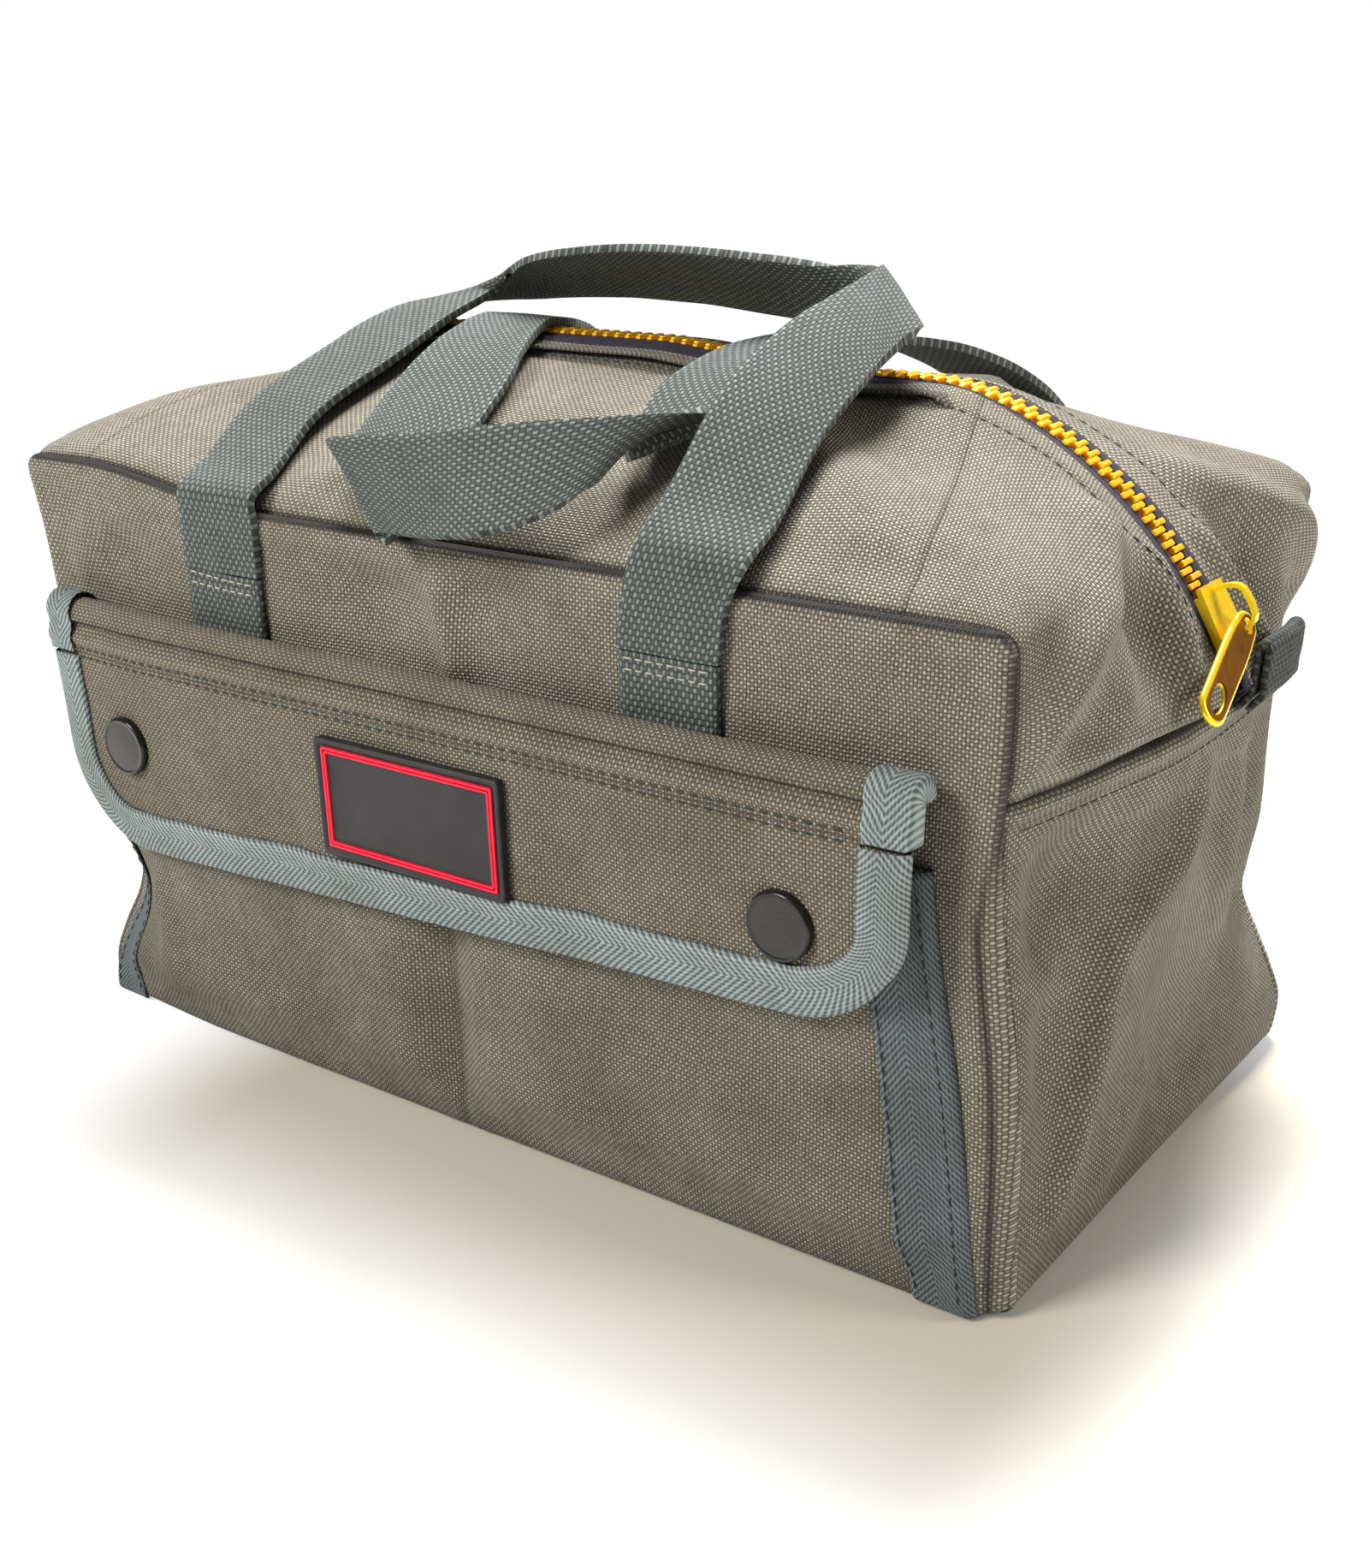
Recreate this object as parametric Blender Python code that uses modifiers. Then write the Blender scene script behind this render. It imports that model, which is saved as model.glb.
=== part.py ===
"""Canvas tool bag with webbing handles, a snap-down front pocket and a brass zip.

Metres, +Z up. The origin is on the floor under the middle of the bag, the pocket faces -Y and the
closed zip's slider is at the +X end. Run with: blender --background --python part.py
"""

import math

import bmesh
import bpy
from mathutils import Matrix, Vector

# Bag body
BAG_LENGTH = 0.280
BASE_LENGTH = 0.286
BAG_DEPTH = 0.160
BASE_DEPTH = 0.155
CROWN_HEIGHT = 0.1775
ROOF_RISE = 0.0325
EDGE_HEIGHT = CROWN_HEIGHT - ROOF_RISE
CANVAS = 0.0014
GAP = 0.0003
FLOOR_THICKNESS = 0.0022
FLOOR_CORNER = 0.006
END_SEAM_DROP = 0.0337
END_SEAM_HEIGHT = EDGE_HEIGHT - END_SEAM_DROP
END_BELLY = 0.010
CORNER_RADIUS = 0.008
PANEL_COLUMNS = 6

# Top halves and shoulders
ROOF_CROWN = 0.0045
SEAM_CROWN = 0.0025
CREASE_ANGLE = math.radians(19.0)
EDGE_CREASE = 0.120
CROWN_PEAK = 6.75
CANVAS_EDGE = 0.007

# Zip
ZIP_RADIUS = 0.095
ZIP_STRAIGHT = 0.064
ZIP_END_ANGLE = math.radians(70.0)
TEETH_END_ANGLE = math.radians(62.0)
STOP_ANGLE = math.radians(63.6)
TEETH_PITCH = 0.00335
TOOTH_HEIGHT = 0.0025
TOOTH_REACH = 0.0009
CHAIN_HALF = 0.0041
BEAD_WIDTH = 0.0011
TAPE = 0.0007
TAPE_WIDTH = 0.0112
STOP_LENGTH = 0.0024
STOP_WIDTH = 0.0022

# Zip slider, in its own frame: along the zip, across it and out of the bag
SLIDER_ANGLE = math.radians(60.5)
SLIDER_LENGTH = 0.017
SLIDER_WIDE = 0.0124
SLIDER_NARROW = 0.0112
SLIDER_PLATE = 0.0011
SLIDER_CLEARANCE = 0.0008
FLANGE_WIDTH = 0.0011
FLANGE_SLOT = 0.0018
WEDGE_LENGTH = 0.0026
WEDGE_WIDTH = 0.0030
BAIL_START = -0.0070
BAIL_END = 0.0032
BAIL_HEIGHT = 0.0070
BAIL_WIDTH = 0.0019
BAIL_THICKNESS = 0.0009

# Pull
PULL_LENGTH = 0.0330
PULL_WIDTH = 0.0082
PULL_THICKNESS = 0.0012
PULL_EYE_LENGTH = 0.0040
PULL_EYE_WIDTH = 0.0036
PULL_EYE_WALL = 0.0016
PULL_SLOT_LENGTH = 0.0085
PULL_SLOT_WIDTH = 0.0046
PULL_SLOT_WALL = 0.0020
PULL_RECESS = 0.0004
PULL_RIM = 0.0012
PULL_HINGE_HEIGHT = 0.0062
PULL_HINGE_INSET = 0.0006
PULL_LIE_SHARES = (0.420, -0.900, -0.115)

# End tabs
TAB_WIDTH = 0.025
TAB_START = 0.0075
TAB_RISE = 0.0035
TAB_FLARE = 0.0046
TAB_HEIGHT = 0.0150
TAB_LEAN = 0.0006
TAB_WEBBING = 0.0014
TAB_FOLD = 0.0012

# Front pocket, from the flap's stitch line down
FLAP_STITCH_DROP = 0.040
FLAP_STITCH = EDGE_HEIGHT - FLAP_STITCH_DROP
POCKET_TOP_DROP = 0.008
POCKET_HEIGHT = FLAP_STITCH - POCKET_TOP_DROP
POCKET_DEPTH = 0.0052
POCKET_TOP_HALF = 0.125
POCKET_BASE_HALF = 0.136
POCKET_SEAM_RUN = 0.014
POCKET_BOTTOM = 0.0045
BINDING = 0.0007
BINDING_TURN = 0.0032

# Pocket flap
FLAP_HEAD_RISE = 0.0124
FLAP_TOP = FLAP_STITCH + FLAP_HEAD_RISE
FLAP_DROP = 0.0505
FLAP_BOTTOM = FLAP_STITCH - FLAP_DROP
FLAP_HALF = 0.1262
FLAP_CORNER = 0.027
FLAP_STANDOFF = 0.0106
HEAD_STANDOFF = 0.0033
EDGE_BINDING_WIDTH = 0.0095

# Patch
PATCH_LENGTH = 0.058
PATCH_WIDTH = 0.031
PATCH_DROP = 0.021
PATCH_HEIGHT = FLAP_STITCH - PATCH_DROP
PATCH_THICKNESS = 0.0018
PATCH_CORNER = 0.0012
PATCH_MARGIN = 0.0022
PATCH_RIM_WIDTH = 0.0013
PATCH_RIM_HEIGHT = 0.0006

# Snaps
SNAP_INSET = 0.0278
SNAP_SPACING = 2 * (FLAP_HALF - SNAP_INSET)
SNAP_DROP = 0.0217
SNAP_HEIGHT = FLAP_STITCH - SNAP_DROP
CAP_RADIUS = 0.0076
CAP_RISE = 0.0024
CAP_EDGE = 0.0006
SOCKET_RADIUS = 0.0052
SOCKET_BORE = 0.0027
SOCKET_DEPTH = 0.0015
SOCKET_BASE = 0.0004
STUD_FLANGE = 0.0050
STUD_FLANGE_THICKNESS = 0.0006
STUD_RADIUS = 0.0022
STUD_RISE = 0.0010

# Handles
HANDLE_SPACING = 0.131
WEBBING = 0.0020
WEBBING_WIDTH = 0.025
HANDLE_STITCH_DROP = 0.015
HANDLE_STITCH = EDGE_HEIGHT - HANDLE_STITCH_DROP
ANCHOR_LENGTH = 0.031
ANCHOR_BOTTOM = HANDLE_STITCH - ANCHOR_LENGTH
BACK_ANCHOR_LENGTH = 0.070
BACK_ANCHOR_BOTTOM = HANDLE_STITCH - BACK_ANCHOR_LENGTH
HANDLE_STEPS = 3

# Routes of the two webbing loops as they lie in the photograph. Each row is one place along the
# loop: its outer edge, then its inner edge. X is a share of half the handle spacing, Y a share
# of half the bag's depth and Z a share of the roof's rise, counted up from the crown.
FRONT_ROUTE_SHARES = (
    ((-1.191, -1.016, -1.453), (-0.809, -1.016, -1.453)),
    ((-1.191, -1.016, -1.060), (-0.809, -1.016, -1.060)),
    ((-1.198, -1.005, -0.863), (-0.817, -1.005, -0.863)),
    ((-1.229, -0.872, -0.721), (-0.847, -0.880, -0.721)),
    ((-1.267, -0.637, -0.377), (-0.885, -0.660, -0.393)),
    ((-1.214, -0.375, -0.082), (-0.832, -0.375, -0.087)),
    ((-1.214, -0.125, 0.115), (-0.837, -0.112, 0.153)),
    ((-1.191, 0.050, 0.186), (-0.840, 0.112, 0.306)),
    ((-1.008, 0.200, 0.213), (-0.718, 0.075, 0.475)),
    ((-0.733, 0.262, 0.246), (-0.550, 0.025, 0.595)),
    ((-0.397, 0.275, 0.284), (-0.275, 0.000, 0.677)),
    ((-0.031, 0.269, 0.284), (0.031, 0.000, 0.715)),
    ((0.366, 0.256, 0.229), (0.366, 0.012, 0.694)),
    ((0.733, 0.200, 0.191), (0.672, 0.062, 0.639)),
    ((1.069, 0.050, 0.229), (0.824, 0.150, 0.601)),
    ((1.237, -0.125, 0.295), (0.901, 0.137, 0.606)),
    ((1.229, -0.225, 0.213), (0.893, 0.025, 0.524)),
    ((1.214, -0.350, 0.060), (0.855, -0.300, 0.306)),
    ((1.214, -0.587, -0.262), (0.855, -0.600, -0.016)),
    ((1.252, -0.825, -0.644), (0.870, -0.850, -0.524)),
    ((1.267, -0.987, -0.830), (0.870, -0.994, -0.797)),
    ((1.221, -1.016, -1.092), (0.840, -1.016, -1.092)),
    ((1.191, -1.016, -1.453), (0.809, -1.016, -1.453)),
)
BACK_ROUTE_SHARES = (
    ((-1.191, 1.016, -1.453), (-0.809, 1.016, -1.453)),
    ((-1.191, 1.016, -1.060), (-0.809, 1.016, -1.060)),
    ((-1.176, 0.994, -0.847), (-0.794, 0.994, -0.847)),
    ((-1.115, 0.775, -0.524), (-0.748, 0.725, -0.464)),
    ((-0.977, 0.450, -0.126), (-0.611, 0.375, -0.044)),
    ((-0.855, 0.150, 0.087), (-0.473, 0.100, 0.109)),
    ((-0.779, -0.050, 0.131), (-0.397, -0.075, 0.137)),
    ((-0.695, -0.325, 0.000), (-0.305, -0.275, 0.005)),
    ((-0.611, -0.575, -0.213), (-0.198, -0.475, -0.202)),
    ((-0.466, -0.887, -0.464), (-0.053, -1.052, -0.912)),
    ((-0.508, -0.920, -0.442), (-0.092, -1.100, -0.907)),
    ((-0.435, -0.955, -0.399), (-0.015, -1.126, -0.879)),
    ((-0.061, -0.962, -0.306), (0.183, -1.144, -0.852)),
    ((0.244, -0.962, -0.208), (0.366, -1.144, -0.797)),
    ((0.473, -0.900, -0.153), (0.519, -1.075, -0.710)),
    ((0.641, -0.775, -0.142), (0.618, -0.950, -0.552)),
    ((0.802, -0.600, -0.131), (0.611, -0.750, -0.317)),
    ((0.832, -0.519, -0.169), (0.634, -0.750, -0.382)),
    ((0.821, -0.512, -0.224), (0.565, -0.700, -0.421)),
    ((0.821, -0.350, -0.076), (0.450, -0.425, -0.120)),
    ((0.840, -0.125, 0.098), (0.473, -0.162, 0.066)),
    ((0.931, 0.075, 0.120), (0.565, 0.037, 0.126)),
    ((1.023, 0.300, 0.066), (0.656, 0.250, 0.076)),
    ((1.115, 0.575, -0.137), (0.748, 0.525, -0.093)),
    ((1.176, 0.825, -0.459), (0.794, 0.800, -0.415)),
    ((1.198, 0.994, -0.847), (0.817, 0.994, -0.830)),
    ((1.191, 1.016, -1.060), (0.809, 1.016, -1.060)),
    ((1.191, 1.016, -1.453), (0.809, 1.016, -1.453)),
)

# Worked-out places
HALF_LENGTH = BAG_LENGTH / 2
HALF_DEPTH = BAG_DEPTH / 2
HALF_BASE = BASE_LENGTH / 2
SEAM_DEPTH = HALF_DEPTH - CANVAS - 3 * GAP
ROOF_EDGE_HEIGHT = EDGE_HEIGHT - GAP
ARC_CENTRE = Vector((ZIP_STRAIGHT, 0, CROWN_HEIGHT - ZIP_RADIUS))
ZIP_DROP = CANVAS + GAP + TAPE / 2
CREASE_RUN = ZIP_STRAIGHT + ZIP_RADIUS * CREASE_ANGLE
TEETH_RUN = ZIP_STRAIGHT + ZIP_RADIUS * TEETH_END_ANGLE

COLOURS = {
    "canvas": ((0.20, 0.18, 0.14), 0.95, 0.0),
    "webbing": ((0.07, 0.09, 0.085), 0.9, 0.0),
    "twill": ((0.13, 0.17, 0.165), 0.85, 0.0),
    "tape": ((0.03, 0.03, 0.04), 0.9, 0.0),
    "brass": ((0.95, 0.65, 0.10), 0.25, 1.0),
    "black_metal": ((0.01, 0.01, 0.01), 0.3, 0.6),
    "steel": ((0.35, 0.35, 0.36), 0.35, 1.0),
    "rubber": ((0.015, 0.015, 0.015), 0.6, 0.0),
    "red_rubber": ((0.55, 0.01, 0.02), 0.5, 0.0),
}


def clear_scene():
    for item in list(bpy.data.objects):
        bpy.data.objects.remove(item, do_unlink=True)


def material(name):
    """Give one Principled material a piece, in the colour of its stuff."""
    made = bpy.data.materials.get(name) or bpy.data.materials.new(name)
    made.use_nodes = True
    colour, roughness, metallic = COLOURS[name]
    shader = made.node_tree.nodes["Principled BSDF"]
    shader.inputs["Base Color"].default_value = (*colour, 1)
    shader.inputs["Roughness"].default_value = roughness
    shader.inputs["Metallic"].default_value = metallic
    made.diffuse_color = (*colour, 1)
    return made


def finish(item, stuff, carrier=None):
    """Give a piece its own material and hang it from its joint's empty."""
    own = material(stuff).copy()
    own.name = item.name + "_" + stuff
    item.data.materials.clear()
    item.data.materials.append(own)
    if carrier:
        item.parent = carrier
        item.matrix_parent_inverse = carrier.matrix_world.inverted()
    return item


def new_object(name, mesh, collection):
    item = bpy.data.objects.new(name, mesh)
    collection.objects.link(item)
    return item


def joint_empty(name, place, collection):
    """An empty on a joint's axis, which carries the pieces that move with it."""
    empty = bpy.data.objects.new(name, None)
    empty.location = place
    empty.matrix_world = Matrix.Translation(place)
    collection.objects.link(empty)
    return empty


def applied(item):
    """Turn a piece with modifiers into a plain mesh of the same shape."""
    bpy.context.view_layer.update()
    graph = bpy.context.evaluated_depsgraph_get()
    mesh = bpy.data.meshes.new_from_object(item.evaluated_get(graph))
    item.modifiers.clear()
    item.data = mesh
    return item


def join_all(item, others):
    """Fuse overlapping solids into one body."""
    for other in others:
        boolean = item.modifiers.new("join", "BOOLEAN")
        boolean.operation = "UNION"
        boolean.solver = "EXACT"
        boolean.object = other
        applied(item)
        bpy.data.objects.remove(other, do_unlink=True)
    return item


def cut_all(item, cutters):
    for cutter in cutters:
        boolean = item.modifiers.new("cut", "BOOLEAN")
        boolean.operation = "DIFFERENCE"
        boolean.solver = "EXACT"
        boolean.object = cutter
        applied(item)
        bpy.data.objects.remove(cutter, do_unlink=True)
    return item


def sheet(name, rows, thickness, outward, collection, closed=False):
    """Thicken the surface through rows of points, half to each side. Outward is its outer side."""
    edit = bmesh.new()
    grid = [[edit.verts.new(point) for point in row] for row in rows]
    pairs = list(zip(grid, grid[1:]))
    if closed:
        pairs.append((grid[-1], grid[0]))
    for first, second in pairs:
        for a, b, c, d in zip(first, first[1:], second[1:], second):
            edit.faces.new((a, b, c, d))
    edit.normal_update()
    lean = sum((face.normal * face.calc_area() for face in edit.faces), Vector())
    if lean.dot(Vector(outward)) < 0:
        bmesh.ops.reverse_faces(edit, faces=edit.faces)
    mesh = bpy.data.meshes.new(name)
    edit.to_mesh(mesh)
    edit.free()
    item = new_object(name, mesh, collection)
    solid = item.modifiers.new("thickness", "SOLIDIFY")
    solid.thickness = thickness
    solid.offset = 0
    return item


def plate(name, points, thickness, collection):
    """A flat outline in local X and Y with its middle plane at local Z zero."""
    edit = bmesh.new()
    face = edit.faces.new([edit.verts.new((x, y, -thickness / 2)) for x, y in points])
    edit.normal_update()
    if face.normal.z > 0:
        bmesh.ops.reverse_faces(edit, faces=edit.faces)
    risen = bmesh.ops.extrude_face_region(edit, geom=edit.faces[:])
    tops = [part for part in risen["geom"] if isinstance(part, bmesh.types.BMVert)]
    bmesh.ops.translate(edit, verts=tops, vec=(0, 0, thickness))
    bmesh.ops.recalc_face_normals(edit, faces=edit.faces)
    mesh = bpy.data.meshes.new(name)
    edit.to_mesh(mesh)
    edit.free()
    return new_object(name, mesh, collection)


def block(name, size, centre, collection):
    """A box of the given size round a centre."""
    edit = bmesh.new()
    bmesh.ops.create_cube(edit, size=1)
    bmesh.ops.scale(edit, verts=edit.verts, vec=size)
    bmesh.ops.translate(edit, verts=edit.verts, vec=centre)
    mesh = bpy.data.meshes.new(name)
    edit.to_mesh(mesh)
    edit.free()
    return new_object(name, mesh, collection)


def turned(name, profile, collection, steps=20):
    """Turn a profile of radius and height, listed down its outer side, about local Z."""
    edit = bmesh.new()
    points = [edit.verts.new((radius, 0, height)) for radius, height in profile]
    for a, b in zip(points, points[1:]):
        edit.edges.new((a, b))
    mesh = bpy.data.meshes.new(name)
    edit.to_mesh(mesh)
    edit.free()
    item = new_object(name, mesh, collection)
    screw = item.modifiers.new("turn", "SCREW")
    screw.steps = steps
    screw.render_steps = steps
    screw.use_merge_vertices = True
    screw.merge_threshold = 0.00001
    return item


def rounded_box(half_x, half_y, radius, steps=4):
    """Corner-rounded outline round the origin, counterclockwise."""
    points = []
    corners = ((1, 1, 0), (-1, 1, 1), (-1, -1, 2), (1, -1, 3))
    for sign_x, sign_y, quarter in corners:
        for step in range(steps + 1):
            turn = (quarter + step / steps) * math.pi / 2
            x = sign_x * (half_x - radius) + radius * math.cos(turn)
            y = sign_y * (half_y - radius) + radius * math.sin(turn)
            points.append((x, y))
    return points


def oval(half_x, half_y, steps=20):
    turns = [step / steps * math.tau for step in range(steps)]
    return [(half_x * math.cos(turn), half_y * math.sin(turn)) for turn in turns]


def smooth_step(share):
    share = min(max(share, 0), 1)
    return share * share * (3 - 2 * share)


# Body walls

def face_depth(height):
    """Y distance of the front and back panels' outer face at a height."""
    return (BASE_DEPTH + (BAG_DEPTH - BASE_DEPTH) * height / EDGE_HEIGHT) / 2


def on_front(x, height, standoff):
    """A point standing off the front panel's outer face."""
    return Vector((x, -face_depth(height) - standoff, height))


def end_reach(y, height):
    """X distance of an end panel's outer face, bellied towards the zip's end."""
    rise = height / END_SEAM_HEIGHT
    belly = END_BELLY * rise ** 1.5 * (1 - (y / SEAM_DEPTH) ** 2)
    return HALF_BASE + (HALF_LENGTH - HALF_BASE) * rise + belly


def wall_half(height):
    """Half width of the front and back panels, rounded at the top corners."""
    straight = EDGE_HEIGHT - CORNER_RADIUS
    if height <= straight:
        return HALF_BASE + (HALF_LENGTH - HALF_BASE) * min(height / END_SEAM_HEIGHT, 1)
    rise = min((height - straight) / CORNER_RADIUS, 1)
    return HALF_LENGTH - CORNER_RADIUS + CORNER_RADIUS * math.sqrt(1 - rise * rise)


def floor_panel(collection):
    outline = rounded_box(HALF_BASE - GAP, BASE_DEPTH / 2 - GAP, FLOOR_CORNER)
    item = plate("bottom_panel", outline, FLOOR_THICKNESS, collection)
    item.location = (0, 0, FLOOR_THICKNESS / 2)
    return finish(item, "canvas")


def wall_panel(name, side, collection):
    """Front panel for side -1 and back panel for side 1."""
    low = FLOOR_THICKNESS + GAP
    straight = EDGE_HEIGHT - CORNER_RADIUS
    heights = [low + (straight - low) * step / PANEL_COLUMNS for step in range(PANEL_COLUMNS + 1)]
    corner_shares = (0.35, 0.65, 0.87, 0.98)
    heights += [straight + CORNER_RADIUS * share for share in corner_shares]
    rows = []
    for height in heights:
        half = wall_half(height)
        depth = side * (face_depth(height) - CANVAS / 2)
        shares = [2 * step / PANEL_COLUMNS - 1 for step in range(PANEL_COLUMNS + 1)]
        rows.append([Vector((half * share, depth, height)) for share in shares])
    return finish(sheet(name, rows, CANVAS, (0, side, 0), collection), "canvas")


def end_panel(name, side, collection):
    """Lower end panel for side 1 at the slider's end and -1 at the other."""
    low = FLOOR_THICKNESS + GAP
    rows = []
    for step in range(PANEL_COLUMNS + 1):
        height = low + (END_SEAM_HEIGHT - low) * step / PANEL_COLUMNS
        half = face_depth(height) - CANVAS - 2 * GAP
        row = []
        for column in range(PANEL_COLUMNS + 3):
            y = half * (2 * column / (PANEL_COLUMNS + 2) - 1)
            row.append(Vector((side * (end_reach(y, height) - CANVAS / 2), y, height)))
        rows.append(row)
    return finish(sheet(name, rows, CANVAS, (side, 0, 0), collection), "canvas")


# Zip path and the canvas roof built over it

def zip_place(run):
    """Point and outward normal on the zip's middle line, a run from the bag's middle."""
    side = math.copysign(1, run)
    beyond = abs(run) - ZIP_STRAIGHT
    if beyond <= 0:
        return Vector((run, 0, CROWN_HEIGHT)), Vector((0, 0, 1))
    turn = beyond / ZIP_RADIUS
    normal = Vector((side * math.sin(turn), 0, math.cos(turn)))
    centre = Vector((side * ARC_CENTRE.x, 0, ARC_CENTRE.z))
    return centre + normal * ZIP_RADIUS, normal


def edge_place(run, seam_share):
    """Point on the top outer edge that faces a place on the zip."""
    side = math.copysign(1, run)
    if seam_share <= 0:
        return Vector((EDGE_CREASE * run / CREASE_RUN, 0, ROOF_EDGE_HEIGHT))
    flat = HALF_LENGTH - CORNER_RADIUS - EDGE_CREASE
    arc = CORNER_RADIUS * math.pi / 2
    drop = ROOF_EDGE_HEIGHT - CORNER_RADIUS - END_SEAM_HEIGHT - 2 * GAP
    along = seam_share * (flat + arc + drop)
    if along < flat:
        return Vector((side * (EDGE_CREASE + along), 0, ROOF_EDGE_HEIGHT))
    if along < flat + arc:
        turn = (along - flat) / CORNER_RADIUS
        x = HALF_LENGTH - CORNER_RADIUS + CORNER_RADIUS * math.sin(turn)
        z = ROOF_EDGE_HEIGHT - CORNER_RADIUS + CORNER_RADIUS * math.cos(turn)
        return Vector((side * x, 0, z))
    fall = along - flat - arc
    return Vector((side * HALF_LENGTH, 0, ROOF_EDGE_HEIGHT - CORNER_RADIUS - fall))


def roof_place(run, depth, seam_share=0.0, under=0.0):
    """Point on the outer face of the roof, or so far under it, at a depth from the zip."""
    on_zip, normal = zip_place(run)
    near = on_zip + normal * ZIP_DROP
    if seam_share > 0:
        end_share = seam_share ** 2
        seam = Vector((math.copysign(end_reach(0, END_SEAM_HEIGHT), run), 0,
                       END_SEAM_HEIGHT + 2 * GAP))
        last = max(0, (seam_share - SHOULDER_ZIP_SHARE) / (1 - SHOULDER_ZIP_SHARE))
        near = near.lerp(seam, last)
        lean = Vector((math.copysign(1, run), 0, 0))
        normal = normal.lerp(lean, end_share).normalized()
    crown = ROOF_CROWN + (SEAM_CROWN - ROOF_CROWN) * seam_share
    share = max(0, (abs(depth) - CANVAS_EDGE) / (SEAM_DEPTH - CANVAS_EDGE))
    place = near.lerp(edge_place(run, seam_share), share)
    place += normal * (crown * CROWN_PEAK * share * share * (1 - share) - under)
    place.y = depth
    return place


SHOULDER_ZIP_SHARE = 0.90


def shoulder_stations(side, last_angle=ZIP_END_ANGLE):
    """Runs and shares of the seam from the crease down to an angle on the zip's arc."""
    count = 7
    stations = []
    for step in range(count + 1):
        turn = CREASE_ANGLE + (last_angle - CREASE_ANGLE) * step / count
        share = SHOULDER_ZIP_SHARE * (turn - CREASE_ANGLE) / (ZIP_END_ANGLE - CREASE_ANGLE)
        stations.append((side * (ZIP_STRAIGHT + ZIP_RADIUS * turn), share))
    return stations


def mouth_stations():
    count = 10
    last = CREASE_RUN - GAP
    return [(last * (2 * step / count - 1), 0.0) for step in range(count + 1)]


DEPTH_SHARES = (0.0, 0.14, 0.36, 0.6, 0.82, 1.0)


def roof_sheet(name, stations, side, carrier, collection):
    """Canvas from the zip to the top edge, on the front for side -1 and the back for side 1."""
    rows = []
    for run, seam_share in stations:
        start = 2 * GAP if 0 < abs(seam_share) or abs(run) > CREASE_RUN - GAP / 2 else 0
        row = []
        for share in DEPTH_SHARES:
            depth = CANVAS_EDGE + (SEAM_DEPTH - CANVAS_EDGE) * share
            place = roof_place(run, side * depth, seam_share, CANVAS / 2)
            place.x += math.copysign(start, run) if seam_share == 0 else 0
            row.append(place)
        rows.append(row)
    item = sheet(name, rows, CANVAS, (0, 0, 1), collection)
    return finish(item, "canvas", carrier)


def shoulder(name, side, end, collection):
    """Fixed corner of the roof that folds down over the bag's end."""
    stations = shoulder_stations(end)
    stations.append((stations[-1][0], 1.0))
    return roof_sheet(name, stations, side, None, collection)


def tape_strip(name, stations, side, carrier, collection):
    """Woven tape under the canvas edge that carries one row of teeth."""
    rows = []
    for run, seam_share in stations:
        row = []
        for step in range(3):
            depth = CHAIN_HALF + GAP + TAPE_WIDTH * step / 2
            place = roof_place(run, side * depth, seam_share, ZIP_DROP)
            row.append(place)
        rows.append(row)
    item = sheet(name, rows, TAPE, (0, 0, 1), collection)
    return finish(item, "tape", carrier)


def teeth_row(name, first, last, side, carrier, collection):
    """One row of brass teeth on its corded bead, each reaching between two of the other row."""
    edit = bmesh.new()
    offset = TEETH_PITCH / 2 if side > 0 else 0
    tooth = TEETH_PITCH / 2 - GAP
    count = int((last - first - TEETH_PITCH) / TEETH_PITCH)

    def place(run, depth):
        point = zip_place(run)[0]
        point.y = side * depth
        return edit.verts.new(point)

    def section(run):
        return place(run, CHAIN_HALF), place(run, CHAIN_HALF - BEAD_WIDTH)

    def tip(run):
        return place(run, -TOOTH_REACH)

    outer, inner = section(first)
    for number in range(count):
        start = first + offset + number * TEETH_PITCH + GAP / 2
        stop = start + tooth
        start_outer, start_inner = section(start)
        stop_outer, stop_inner = section(stop)
        edit.faces.new((outer, start_outer, start_inner, inner))
        edit.faces.new((start_outer, stop_outer, stop_inner, start_inner))
        edit.faces.new((start_inner, stop_inner, tip(stop), tip(start)))
        outer, inner = stop_outer, stop_inner
    end_outer, end_inner = section(last)
    edit.faces.new((outer, end_outer, end_inner, inner))
    edit.normal_update()
    if sum(face.normal.z for face in edit.faces) < 0:
        bmesh.ops.reverse_faces(edit, faces=edit.faces)
    mesh = bpy.data.meshes.new(name)
    edit.to_mesh(mesh)
    edit.free()
    item = new_object(name, mesh, collection)
    solid = item.modifiers.new("thickness", "SOLIDIFY")
    solid.thickness = TOOTH_HEIGHT
    solid.offset = 0
    return finish(item, "brass", carrier)


def zip_frame(angle, end=1):
    """Matrix of a place on the arc: local X down the zip, Y across it and Z out of the bag."""
    normal = Vector((end * math.sin(angle), 0, math.cos(angle)))
    along = Vector((end * math.cos(angle), 0, -math.sin(angle)))
    centre = Vector((end * ARC_CENTRE.x, 0, ARC_CENTRE.z)) + normal * ZIP_RADIUS
    across = normal.cross(along)
    turn = Matrix((along, across, normal)).transposed().to_4x4()
    return Matrix.Translation(centre) @ turn


def zip_stop(name, side, end, collection):
    """Brass block clamped on the tape after the last tooth."""
    centre = (0, side * (CHAIN_HALF - STOP_WIDTH / 2), 0)
    item = block(name, (STOP_LENGTH, STOP_WIDTH, TOOTH_HEIGHT), centre, collection)
    item.matrix_world = zip_frame(STOP_ANGLE, end)
    return finish(item, "brass")


def bottom_stop(collection):
    """Brass bar across both rows where the chain starts."""
    size = (STOP_LENGTH, 2 * CHAIN_HALF, TOOTH_HEIGHT)
    item = block("zip_bottom_stop", size, (0, 0, 0), collection)
    item.matrix_world = zip_frame(STOP_ANGLE, -1)
    return finish(item, "brass")


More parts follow.
